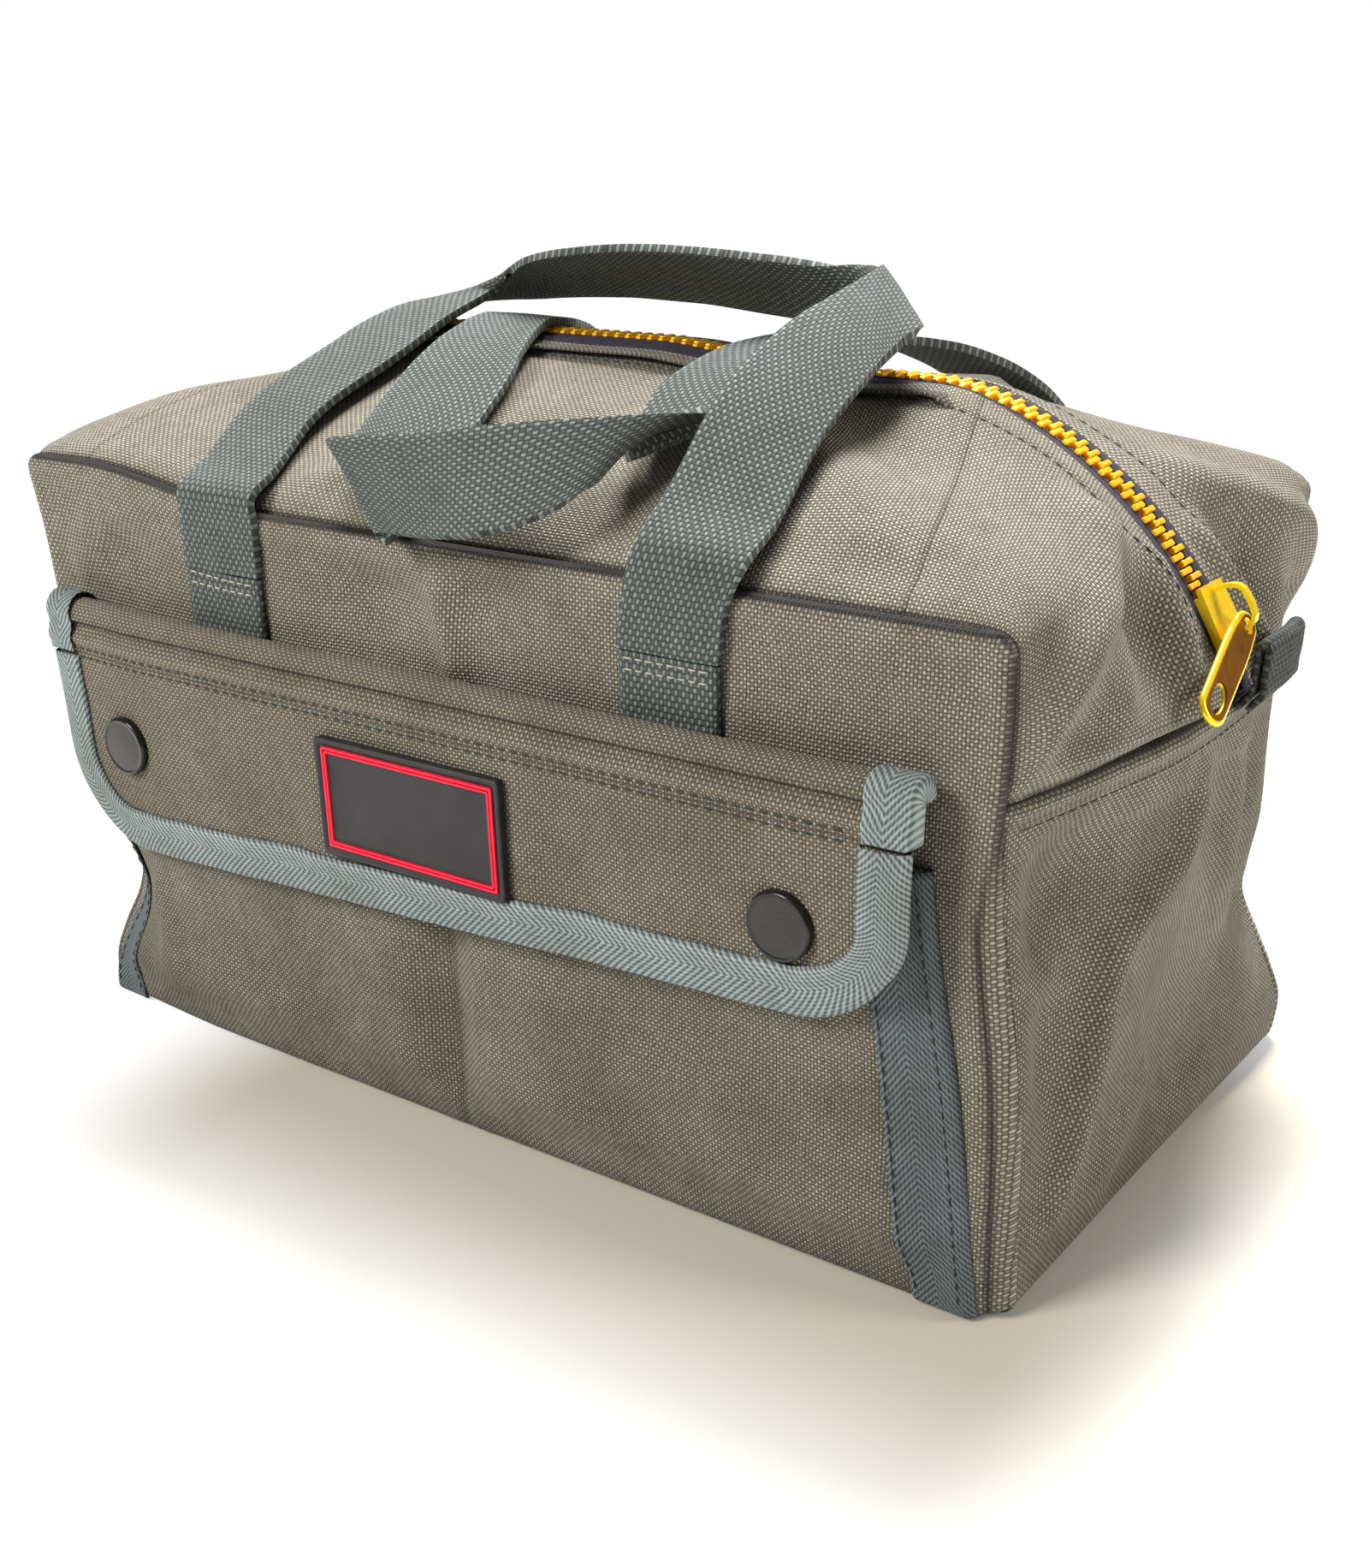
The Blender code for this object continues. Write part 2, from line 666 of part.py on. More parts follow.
def slider_plate(name, height, collection):
    """Top or bottom plate, wider at the end where the rows come in."""
    half = SLIDER_LENGTH / 2
    nose = SLIDER_WIDE / 4
    points = [(half, -nose), (half, nose), (half - nose, SLIDER_WIDE / 2), (0, SLIDER_WIDE / 2),
              (-half, SLIDER_NARROW / 2), (-half, -SLIDER_NARROW / 2), (0, -SLIDER_WIDE / 2),
              (half - nose, -SLIDER_WIDE / 2)]
    item = plate(name, points, SLIDER_PLATE, collection)
    item.location.z = height
    return item


def slider_bail(collection):
    """Arched strip on the top plate that the pull's eye hangs on."""
    base = TOOTH_HEIGHT / 2 + SLIDER_CLEARANCE + SLIDER_PLATE / 2
    middle = (BAIL_START + BAIL_END) / 2
    half = (BAIL_END - BAIL_START) / 2
    steps = 10
    path = []
    for step in range(steps + 1):
        turn = math.pi * step / steps
        x = middle - half * math.copysign(abs(math.cos(turn)) ** 0.5, math.cos(turn))
        z = base + BAIL_HEIGHT * math.sin(turn) ** 0.7
        path.append((x, z))
    rows = [[Vector((x, sign * BAIL_WIDTH / 2, z)) for sign in (-1, 1)] for x, z in path]
    return sheet("bail", rows, BAIL_THICKNESS, (0, 0, 1), collection)


def zip_slider(carrier, collection):
    """Slider body: two plates joined by the wedge, side flanges and the bail, as one casting."""
    level = TOOTH_HEIGHT / 2 + SLIDER_CLEARANCE + SLIDER_PLATE / 2
    item = slider_plate("zip_slider", level, collection)
    lower = slider_plate("slider_bottom", -level, collection)
    wedge_x = SLIDER_LENGTH / 2 - WEDGE_LENGTH / 2 - GAP
    wedge = block("slider_wedge", (WEDGE_LENGTH, WEDGE_WIDTH, 2 * level), (wedge_x, 0, 0), collection)
    parts = [lower, wedge]
    flange_height = level - FLANGE_SLOT / 2
    for side in (-1, 1):
        for layer in (-1, 1):
            size = (SLIDER_LENGTH * 0.72, FLANGE_WIDTH, flange_height)
            centre = (-SLIDER_LENGTH * 0.04, side * (SLIDER_NARROW - FLANGE_WIDTH) / 2,
                      layer * (level + FLANGE_SLOT / 2) / 2)
            parts.append(block("slider_flange", size, centre, collection))
    bail = applied(slider_bail(collection))
    parts.append(bail)
    for part in [item] + parts:
        bpy.context.view_layer.update()
        part.data.transform(part.matrix_world)
        part.matrix_world = Matrix.Identity(4)
    join_all(item, parts)
    item.matrix_world = zip_frame(SLIDER_ANGLE)
    bpy.context.view_layer.update()
    return finish(item, "brass", carrier)


def pull_frame():
    """Matrix of the pull: local X down its length, Y along its hinge and Z out of its face."""
    slider = zip_frame(SLIDER_ANGLE)
    down = (slider.to_3x3() @ Vector(PULL_LIE_SHARES)).normalized()
    out = slider.to_3x3() @ Vector((0, 0, 1))
    face = (out - down * out.dot(down)).normalized()
    hinge = face.cross(down)
    place = slider @ Vector((BAIL_END - PULL_HINGE_INSET, 0, PULL_HINGE_HEIGHT))
    turn = Matrix((down, hinge, face)).transposed().to_4x4()
    return Matrix.Translation(place) @ turn


def zip_pull(carrier, collection):
    """Stamped pull with a raised rim, an eye at the bail and an oval finger hole."""
    start = -PULL_EYE_LENGTH / 2 - PULL_EYE_WALL
    eye_half = PULL_EYE_WIDTH / 2 + PULL_EYE_WALL
    half = PULL_WIDTH / 2
    stop = start + PULL_LENGTH
    neck = PULL_EYE_LENGTH / 2 + PULL_EYE_WALL
    points = [(start, -eye_half * 0.55), (start, eye_half * 0.55)]
    points += [(start * 0.6, eye_half), (neck * 0.5, eye_half), (neck, half * 0.92)]
    points.append((neck + half, half))
    for step in range(9):
        turn = math.pi / 2 * (1 - step / 4)
        points.append((stop - half + half * math.cos(turn), half * math.sin(turn)))
    points += [(neck + half, -half), (neck, -half * 0.92), (neck * 0.5, -eye_half)]
    points.append((start * 0.6, -eye_half))
    item = plate("zip_pull", points, PULL_THICKNESS, collection)
    eye = plate("eye", oval(PULL_EYE_LENGTH / 2, PULL_EYE_WIDTH / 2, 16), 3 * PULL_THICKNESS, collection)
    slot_x = stop - PULL_SLOT_WALL - PULL_SLOT_LENGTH / 2
    slot = plate("slot", oval(PULL_SLOT_LENGTH / 2, PULL_SLOT_WIDTH / 2, 20), 3 * PULL_THICKNESS,
                 collection)
    slot.location.x = slot_x
    low = neck + PULL_RIM
    high = slot_x - PULL_SLOT_LENGTH / 2 - PULL_RIM
    hollow = plate("recess", rounded_box((high - low) / 2, half - PULL_RIM, PULL_RIM, 2),
                   2 * PULL_RECESS, collection)
    hollow.location = ((high + low) / 2, 0, PULL_THICKNESS / 2)
    cut_all(item, [eye, slot, hollow])
    item.matrix_world = pull_frame()
    bpy.context.view_layer.update()
    return finish(item, "brass", carrier)


def end_tab(name, end, collection):
    """Folded webbing tab sewn into the end seam beside the zip's end."""
    foot = Vector((end_reach(TAB_START, END_SEAM_HEIGHT) + TAB_WEBBING, 0, END_SEAM_HEIGHT))
    bend = foot + Vector((TAB_FLARE, 0, TAB_RISE))
    top = bend + Vector((TAB_LEAN, 0, TAB_HEIGHT - TAB_RISE))
    rise = (top - bend).normalized()
    out = Vector((rise.z, 0, -rise.x))
    path = [foot, bend, top]
    for step in range(1, 6):
        turn = math.pi * step / 6
        lift = rise * TAB_FOLD * math.sin(turn)
        path.append(top + out * TAB_FOLD * (1 - math.cos(turn)) + lift)
    path += [point + out * 2 * TAB_FOLD for point in (top, bend, foot)]
    rows = []
    for point in path:
        row = []
        for y in (TAB_START, TAB_START + TAB_WIDTH):
            row.append(Vector((end * point.x, y, point.z)))
        rows.append(row)
    item = sheet(name, rows, TAB_WEBBING, (end, 0, 0), collection)
    return finish(item, "webbing")


# Front pocket and its flap

def pocket_half(height):
    return POCKET_BASE_HALF + (POCKET_TOP_HALF - POCKET_BASE_HALF) * height / POCKET_HEIGHT


def pocket_standoff(x, height):
    """How far the pocket panel's inner face stands off the front panel."""
    half = pocket_half(height)
    from_seam = min(abs(x), half - abs(x)) / POCKET_SEAM_RUN
    from_floor = (height - POCKET_BOTTOM) / POCKET_SEAM_RUN
    return GAP + POCKET_DEPTH * smooth_step(from_seam) * smooth_step(from_floor)


def pocket_heights():
    heights = [POCKET_BOTTOM + POCKET_SEAM_RUN * share for share in (0.0, 0.4, 0.7, 1.0)]
    return heights + [heights[-1] + (POCKET_HEIGHT - heights[-1]) * share for share in (0.33, 0.67, 1.0)]


def pocket_panel(collection):
    """Patch pocket sewn down its middle, so that it holds two pouches."""
    rows = []
    for height in pocket_heights():
        half = pocket_half(height)
        run = POCKET_SEAM_RUN
        columns = [0, run * 0.4, run * 0.7, run, half / 2, half - run, half - run * 0.7,
                   half - run * 0.4, half]
        columns = [-x for x in reversed(columns[1:])] + columns
        rows.append([on_front(x, height, pocket_standoff(x, height) + CANVAS / 2) for x in columns])
    item = sheet("pocket_panel", rows, CANVAS, (0, -1, 0), collection)
    return finish(item, "canvas")


def pocket_binding(name, side, collection):
    """Twill tape folded over the pocket's side edge."""
    rows = []
    for height in pocket_heights():
        half = pocket_half(height)
        skin = CANVAS + 2 * GAP + BINDING / 2
        row = []
        for share in (0.85, 0.7, 0.4, 0.0):
            x = half - POCKET_SEAM_RUN * share
            row.append(on_front(side * x, height, pocket_standoff(x, height) + skin))
        turn = half + BINDING_TURN * 0.35
        row.append(on_front(side * turn, height, GAP + skin * 0.8))
        row.append(on_front(side * (half + BINDING_TURN), height, GAP + BINDING / 2))
        rows.append(row)
    item = sheet(name, rows, BINDING, (0, -1, 0), collection)
    return finish(item, "twill")


def flap_head(collection):
    """Folded top of the flap above its stitch line, which stays on the front panel."""
    radius = (FLAP_STANDOFF - HEAD_STANDOFF) / 2
    centre = FLAP_TOP - CANVAS / 2 - radius
    low = FLAP_STITCH + GAP
    path = [(HEAD_STANDOFF, low), (HEAD_STANDOFF, centre)]
    for step in range(1, 8):
        turn = math.pi * (1 - step / 8)
        path.append((HEAD_STANDOFF + radius + radius * math.cos(turn), centre + radius * math.sin(turn)))
    path += [(FLAP_STANDOFF, centre), (FLAP_STANDOFF, low)]
    rows = []
    for step in range(5):
        x = FLAP_HALF * (step / 2 - 1)
        rows.append([on_front(x, height, standoff) for standoff, height in path])
    item = sheet("flap_head", rows, CANVAS, (0, -1, 1), collection)
    return finish(item, "canvas")


def head_binding(name, side, collection):
    """Twill tape round the end of the folded flap head."""
    skin = CANVAS / 2 + GAP + BINDING / 2
    low = FLAP_STITCH + GAP
    outer = FLAP_STANDOFF + skin
    radius = (FLAP_STANDOFF - HEAD_STANDOFF) / 2 + skin
    centre = FLAP_TOP - CANVAS / 2 - radius + skin
    path = [(outer, low), (outer, centre)]
    for step in range(1, 8):
        turn = math.pi * step / 8
        path.append((outer - radius + radius * math.cos(turn), centre + radius * math.sin(turn)))
    rows = []
    for share in (1.0, 0.5, 0.0):
        x = side * (FLAP_HALF + CANVAS - EDGE_BINDING_WIDTH * share)
        rows.append([on_front(x, height, standoff) for standoff, height in path])
    item = sheet(name, rows, BINDING, (0, -1, 1), collection)
    return finish(item, "twill")


def flap_half(height, inset=0.0):
    """Half width of the flap, rounded at its lower corners."""
    radius = FLAP_CORNER - inset
    low = FLAP_BOTTOM + inset
    rise = (height - low) / radius
    straight = FLAP_HALF - inset
    if rise >= 1:
        return straight
    return straight - radius + radius * math.sqrt(max(0, 1 - (1 - rise) ** 2))


def pocket_flap(carrier, collection):
    corner_shares = (0.0, 0.03, 0.12, 0.28, 0.5, 0.75, 1.0)
    heights = [FLAP_BOTTOM + FLAP_CORNER * share for share in corner_shares]
    top = FLAP_STITCH - GAP / 2
    heights += [heights[-1] + (top - heights[-1]) * share for share in (0.5, 1.0)]
    rows = []
    for height in heights:
        half = flap_half(height)
        rows.append([on_front(half * (step / 2 - 1), height, FLAP_STANDOFF) for step in range(5)])
    item = sheet("pocket_flap", rows, CANVAS, (0, -1, 0), collection)
    return finish(item, "canvas", carrier)


def flap_edge_path():
    """Places down one side, round the lower corners and up the other, each with its inward way."""
    top = FLAP_STITCH - GAP / 2
    centre_z = FLAP_BOTTOM + FLAP_CORNER
    centre_x = FLAP_HALF - FLAP_CORNER
    path = [(-FLAP_HALF, top, 1, 0), (-FLAP_HALF, (top + centre_z) / 2, 1, 0)]
    for side, first in ((-1, math.pi), (1, 1.5 * math.pi)):
        for step in range(7):
            turn = first + math.pi / 2 * step / 6
            x = side * centre_x + FLAP_CORNER * math.cos(turn)
            z = centre_z + FLAP_CORNER * math.sin(turn)
            path.append((x, z, -math.cos(turn), -math.sin(turn)))
        if side < 0:
            path.append((-centre_x / 3, FLAP_BOTTOM, 0, 1))
            path.append((centre_x / 3, FLAP_BOTTOM, 0, 1))
    path += [(FLAP_HALF, (top + centre_z) / 2, -1, 0), (FLAP_HALF, top, -1, 0)]
    return path


def flap_binding(carrier, collection):
    """Twill tape wrapped round the flap's sides and lower edge."""
    skin = CANVAS / 2 + GAP + BINDING / 2
    section = [(EDGE_BINDING_WIDTH, skin), (EDGE_BINDING_WIDTH / 2, skin), (0, skin),
               (-skin * 0.8, skin * 0.55), (-skin * 0.8, -skin * 0.55), (0, -skin),
               (EDGE_BINDING_WIDTH, -skin)]
    rows = []
    for x, height, inward_x, inward_z in flap_edge_path():
        row = []
        for inward, out in section:
            place = on_front(x + inward * inward_x, height + inward * inward_z, FLAP_STANDOFF + out)
            row.append(place)
        rows.append(row)
    item = sheet("flap_binding", rows, BINDING, (0, -1, 0), collection)
    return finish(item, "twill", carrier)


def front_frame(x, height, standoff):
    """Matrix on the front face: local X along the bag, Y up the face and Z out of it."""
    up = (on_front(0, EDGE_HEIGHT, 0) - on_front(0, 0, 0)).normalized()
    along = Vector((1, 0, 0))
    out = along.cross(up)
    turn = Matrix((along, up, out)).transposed().to_4x4()
    return Matrix.Translation(on_front(x, height, standoff)) @ turn


def patch(carrier, collection):
    """Bare moulded patch and its raised border."""
    base_out = FLAP_STANDOFF + CANVAS / 2 + GAP + PATCH_THICKNESS / 2
    outline = rounded_box(PATCH_LENGTH / 2, PATCH_WIDTH / 2, PATCH_CORNER, 3)
    base = plate("patch", outline, PATCH_THICKNESS, collection)
    base.matrix_world = front_frame(0, PATCH_HEIGHT, base_out)
    half_x = PATCH_LENGTH / 2 - PATCH_MARGIN
    half_z = PATCH_WIDTH / 2 - PATCH_MARGIN
    rings = []
    for inset in (0, PATCH_RIM_WIDTH):
        corner = max(PATCH_CORNER - inset, PATCH_CORNER / 4)
        outline = rounded_box(half_x - inset, half_z - inset, corner, 2)
        rings.append([Vector((x, y, 0)) for x, y in outline])
    rows = list(zip(*rings))
    border = sheet("patch_border", rows, PATCH_RIM_HEIGHT, (0, 0, 1), collection, closed=True)
    border_out = base_out + PATCH_THICKNESS / 2 + GAP / 2 + PATCH_RIM_HEIGHT / 2
    border.matrix_world = front_frame(0, PATCH_HEIGHT, border_out)
    bpy.context.view_layer.update()
    finish(base, "rubber", carrier)
    finish(border, "red_rubber", carrier)


def snap(side_name, side, carrier, collection):
    """Cap and socket on the flap, and the stud they press on, on the pocket."""
    x = side * SNAP_SPACING / 2
    cap_base = FLAP_STANDOFF + CANVAS / 2 + GAP
    dome = [(0, CAP_RISE)]
    for step in range(1, 5):
        turn = math.pi / 2 * step / 4
        rise = CAP_EDGE + (CAP_RISE - CAP_EDGE) * math.cos(turn)
        dome.append((CAP_RADIUS * math.sin(turn), rise))
    dome += [(CAP_RADIUS, 0), (0, 0)]
    cap = turned("snap_cap_" + side_name, dome, collection)
    cap.matrix_world = front_frame(x, SNAP_HEIGHT, cap_base)

    socket_top = FLAP_STANDOFF - CANVAS / 2 - GAP
    ring = [(0, 0), (SOCKET_RADIUS * 0.8, 0), (SOCKET_RADIUS, -SOCKET_BASE),
            (SOCKET_RADIUS, -SOCKET_DEPTH), (SOCKET_BORE, -SOCKET_DEPTH),
            (SOCKET_BORE, -SOCKET_BASE), (0, -SOCKET_BASE)]
    socket = turned("snap_socket_" + side_name, ring, collection)
    socket.matrix_world = front_frame(x, SNAP_HEIGHT, socket_top)

    stud_base = pocket_standoff(abs(x), SNAP_HEIGHT) + CANVAS + GAP
    post = [(0, STUD_FLANGE_THICKNESS + STUD_RISE),
            (STUD_RADIUS * 0.7, STUD_FLANGE_THICKNESS + STUD_RISE),
            (STUD_RADIUS, STUD_FLANGE_THICKNESS + STUD_RISE * 0.7),
            (STUD_RADIUS * 0.85, STUD_FLANGE_THICKNESS),
            (STUD_FLANGE, STUD_FLANGE_THICKNESS * 0.8), (STUD_FLANGE, 0), (0, 0)]
    stud = turned("snap_stud_" + side_name, post, collection)
    stud.matrix_world = front_frame(x, SNAP_HEIGHT, stud_base)
    bpy.context.view_layer.update()
    finish(cap, "black_metal", carrier)
    finish(socket, "steel", carrier)
    finish(stud, "steel")


# Handles

def anchor(name, x, side, low, collection):
    """Part of a handle's webbing that is sewn flat on its panel."""
    high = HANDLE_STITCH - GAP
    out = GAP + WEBBING / 2
    rows = []
    for height in (low, high):
        depth = side * (face_depth(height) + out)
        rows.append([Vector((x + sign * WEBBING_WIDTH / 2, depth, height)) for sign in (-1, 1)])
    item = sheet(name, rows, WEBBING, (0, side, 0), collection)
    return finish(item, "webbing")


def route_place(shares):
    height = CROWN_HEIGHT + shares[2] * ROOF_RISE
    return Vector((shares[0] * HANDLE_SPACING / 2, shares[1] * HALF_DEPTH, height))


def smooth_route(points, steps):
    """Points on a smooth curve through the given ones."""
    curve = []
    last = len(points) - 1
    for number in range(last):
        before = points[max(number - 1, 0)]
        start = points[number]
        stop = points[number + 1]
        after = points[min(number + 2, last)]
        for step in range(steps):
            t = step / steps
            rise = (stop - before) * t
            bend = (2 * before - 5 * start + 4 * stop - after) * t * t
            twist = (3 * start - before - 3 * stop + after) * t ** 3
            curve.append(start + (rise + bend + twist) / 2)
    curve.append(points[-1])
    return curve


def webbing_loop(name, route, carrier, collection):
    """Free loop of a handle: a strip between its outer and inner edges."""
    outer = smooth_route([route_place(row[0]) for row in route], HANDLE_STEPS)
    inner = smooth_route([route_place(row[1]) for row in route], HANDLE_STEPS)
    item = sheet(name, list(zip(outer, inner)), WEBBING, (0, 0, 1), collection)
    return finish(item, "webbing", carrier)


def build():
    clear_scene()
    bag = bpy.data.collections.new("tool_bag")
    bpy.context.scene.collection.children.link(bag)

    floor_panel(bag)
    wall_panel("front_panel", -1, bag)
    wall_panel("back_panel", 1, bag)
    sides = (("front", -1), ("back", 1))
    ends = (("right", 1), ("left", -1))

    for side_name, side in sides:
        edge = Vector((0, side * (SEAM_DEPTH - CANVAS), ROOF_EDGE_HEIGHT))
        mouth = joint_empty("mouth_%s_hinge" % side_name, edge, bag)
        run = CREASE_RUN - GAP
        roof_sheet("top_%s_half" % side_name, mouth_stations(), side, mouth, bag)
        tape_strip("zip_tape_" + side_name, mouth_stations(), side, mouth, bag)
        teeth_row("zip_teeth_" + side_name, -run, run, side, mouth, bag)
        for end_name, end in ends:
            place = "%s_%s" % (side_name, end_name)
            shoulder("shoulder_" + place, side, end, bag)
            tape_strip("zip_tape_" + place, shoulder_stations(end), side, None, bag)
            first, last = CREASE_RUN + GAP, TEETH_RUN
            if end < 0:
                first, last = -last, -first
            teeth_row("zip_teeth_" + place, first, last, side, None, bag)
        zip_stop("zip_top_stop_" + side_name, side, 1, bag)
    bottom_stop(bag)

    for end_name, end in ends:
        end_panel("end_panel_" + end_name, end, bag)
        end_tab("zip_end_tab_" + end_name, end, bag)
        pocket_binding("pocket_binding_" + end_name, end, bag)
        head_binding("flap_head_binding_" + end_name, end, bag)
        anchor("front_handle_anchor_" + end_name, end * HANDLE_SPACING / 2, -1, ANCHOR_BOTTOM, bag)
        anchor("back_handle_anchor_" + end_name, end * HANDLE_SPACING / 2, 1, BACK_ANCHOR_BOTTOM, bag)

    slider = joint_empty("slider_axis", ARC_CENTRE, bag)
    pull = joint_empty("pull_axis", pull_frame().translation, bag)
    zip_slider(slider, bag)
    zip_pull(pull, bag)

    pocket_panel(bag)
    flap_head(bag)
    flap_out = FLAP_STANDOFF + CANVAS / 2 + 2 * GAP + BINDING
    flap = joint_empty("flap_hinge", on_front(0, FLAP_STITCH, flap_out), bag)
    pocket_flap(flap, bag)
    flap_binding(flap, bag)
    patch(flap, bag)
    for end_name, end in ends:
        snap(end_name, end, flap, bag)

    lift = HALF_DEPTH + GAP + WEBBING + GAP / 2
    hinge_height = HANDLE_STITCH - GAP / 2
    front = joint_empty("front_handle_hinge", Vector((0, -lift, hinge_height)), bag)
    back = joint_empty("back_handle_hinge", Vector((0, lift, hinge_height)), bag)
    webbing_loop("front_handle", FRONT_ROUTE_SHARES, front, bag)
    webbing_loop("back_handle", BACK_ROUTE_SHARES, back, bag)


build()
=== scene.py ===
"""Looks of the canvas tool bag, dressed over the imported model.

Lengths are in metres where nothing else is said, and Z is up. The pocket faces -Y, and the slider of the
closed zip is at the +X end.
"""

import math

import bmesh
import bpy
from mathutils import Matrix, Vector, noise


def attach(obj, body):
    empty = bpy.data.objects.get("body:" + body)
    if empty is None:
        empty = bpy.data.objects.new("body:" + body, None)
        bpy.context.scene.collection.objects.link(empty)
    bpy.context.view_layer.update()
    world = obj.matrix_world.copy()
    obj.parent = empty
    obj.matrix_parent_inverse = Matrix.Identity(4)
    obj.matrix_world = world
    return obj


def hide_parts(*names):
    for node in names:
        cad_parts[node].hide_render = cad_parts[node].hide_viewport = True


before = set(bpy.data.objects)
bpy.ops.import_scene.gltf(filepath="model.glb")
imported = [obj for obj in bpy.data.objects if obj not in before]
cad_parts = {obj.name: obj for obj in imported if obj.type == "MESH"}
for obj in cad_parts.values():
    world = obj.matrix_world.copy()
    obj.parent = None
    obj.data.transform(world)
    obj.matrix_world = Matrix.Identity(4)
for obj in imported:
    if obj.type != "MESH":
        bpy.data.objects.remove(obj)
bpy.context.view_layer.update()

# Sizes of the model, repeated from its source
MM = 0.001
BAG_LENGTH = 0.280
BASE_LENGTH = 0.286
BAG_DEPTH = 0.160
BASE_DEPTH = 0.155
EDGE_HEIGHT = 0.145
CROWN_HEIGHT = 0.1775
ROOF_RISE = 0.0325
CANVAS = 0.0014
GAP = 0.0003
FLOOR_THICKNESS = 0.0022
END_SEAM_HEIGHT = 0.1113
END_BELLY = 0.010
CORNER_RADIUS = 0.0045
ROOF_CROWN = 0.0045
SEAM_CROWN = 0.0025
CREASE_ANGLE = math.radians(19.0)
EDGE_CREASE = 0.120
CROWN_PEAK = 6.75
CANVAS_EDGE = 0.007
ZIP_RADIUS = 0.095
ZIP_STRAIGHT = 0.064
ZIP_END_ANGLE = math.radians(70.0)
TEETH_END_ANGLE = math.radians(62.0)
STOP_ANGLE = math.radians(63.6)
TEETH_PITCH = 0.00335
TOOTH_HEIGHT = 0.0025
CHAIN_HALF = 0.0041
TAPE = 0.0007
TAPE_WIDTH = 0.0112
SLIDER_ANGLE = math.radians(60.5)
BAIL_END = 0.0032
PULL_LENGTH = 0.0330
PULL_WIDTH = 0.0082
PULL_EYE_LENGTH = 0.0040
PULL_EYE_WIDTH = 0.0036
PULL_EYE_WALL = 0.0016
PULL_SLOT_LENGTH = 0.0085
PULL_SLOT_WIDTH = 0.0046
PULL_SLOT_WALL = 0.0020
PULL_HINGE_HEIGHT = 0.0062
PULL_HINGE_INSET = 0.0006
PULL_LIE_SHARES = (0.420, -0.900, -0.115)
TAB_WIDTH = 0.025
TAB_START = 0.0075
TAB_RISE = 0.0035
TAB_FLARE = 0.0046
TAB_HEIGHT = 0.0150
TAB_LEAN = 0.0006
TAB_WEBBING = 0.0014
TAB_FOLD = 0.0012
POCKET_HEIGHT = 0.097
POCKET_DEPTH = 0.0052
POCKET_TOP_HALF = 0.125
POCKET_BASE_HALF = 0.136
POCKET_SEAM_RUN = 0.014
POCKET_BOTTOM = 0.0045
BINDING = 0.0007
BINDING_TURN = 0.0032
FLAP_STITCH = 0.105
FLAP_TOP = 0.1174
FLAP_BOTTOM = 0.0545
FLAP_HALF = 0.1262
FLAP_CORNER = 0.027
FLAP_STANDOFF = 0.0106
HEAD_STANDOFF = 0.0033
EDGE_BINDING_WIDTH = 0.0095
PATCH_LENGTH = 0.058
PATCH_WIDTH = 0.031
PATCH_HEIGHT = 0.084
PATCH_THICKNESS = 0.0018
SNAP_SPACING = 0.1968
SNAP_HEIGHT = 0.0833
CAP_RADIUS = 0.0076
CAP_RISE = 0.0024
HANDLE_SPACING = 0.131
WEBBING = 0.0020
WEBBING_WIDTH = 0.025
HANDLE_STITCH = 0.130
ANCHOR_BOTTOM = 0.099
BACK_ANCHOR_BOTTOM = 0.060

HALF_LENGTH = BAG_LENGTH / 2
HALF_DEPTH = BAG_DEPTH / 2
HALF_BASE = BASE_LENGTH / 2
CORNER_X = HALF_LENGTH - CORNER_RADIUS
CORNER_Z = EDGE_HEIGHT - CORNER_RADIUS
SEAM_DEPTH = HALF_DEPTH - CANVAS - 3 * GAP
ROOF_SPAN = SEAM_DEPTH - CANVAS_EDGE
ROOF_EDGE_HEIGHT = EDGE_HEIGHT - GAP
ROOF_CORNER_Z = ROOF_EDGE_HEIGHT - CORNER_RADIUS
ARC_CENTRE = Vector((ZIP_STRAIGHT, 0, CROWN_HEIGHT - ZIP_RADIUS))
ZIP_DROP = CANVAS + GAP + TAPE / 2
CREASE_RUN = ZIP_STRAIGHT + ZIP_RADIUS * CREASE_ANGLE
TEETH_RUN = ZIP_STRAIGHT + ZIP_RADIUS * TEETH_END_ANGLE
SHOULDER_ZIP_SHARE = 0.90

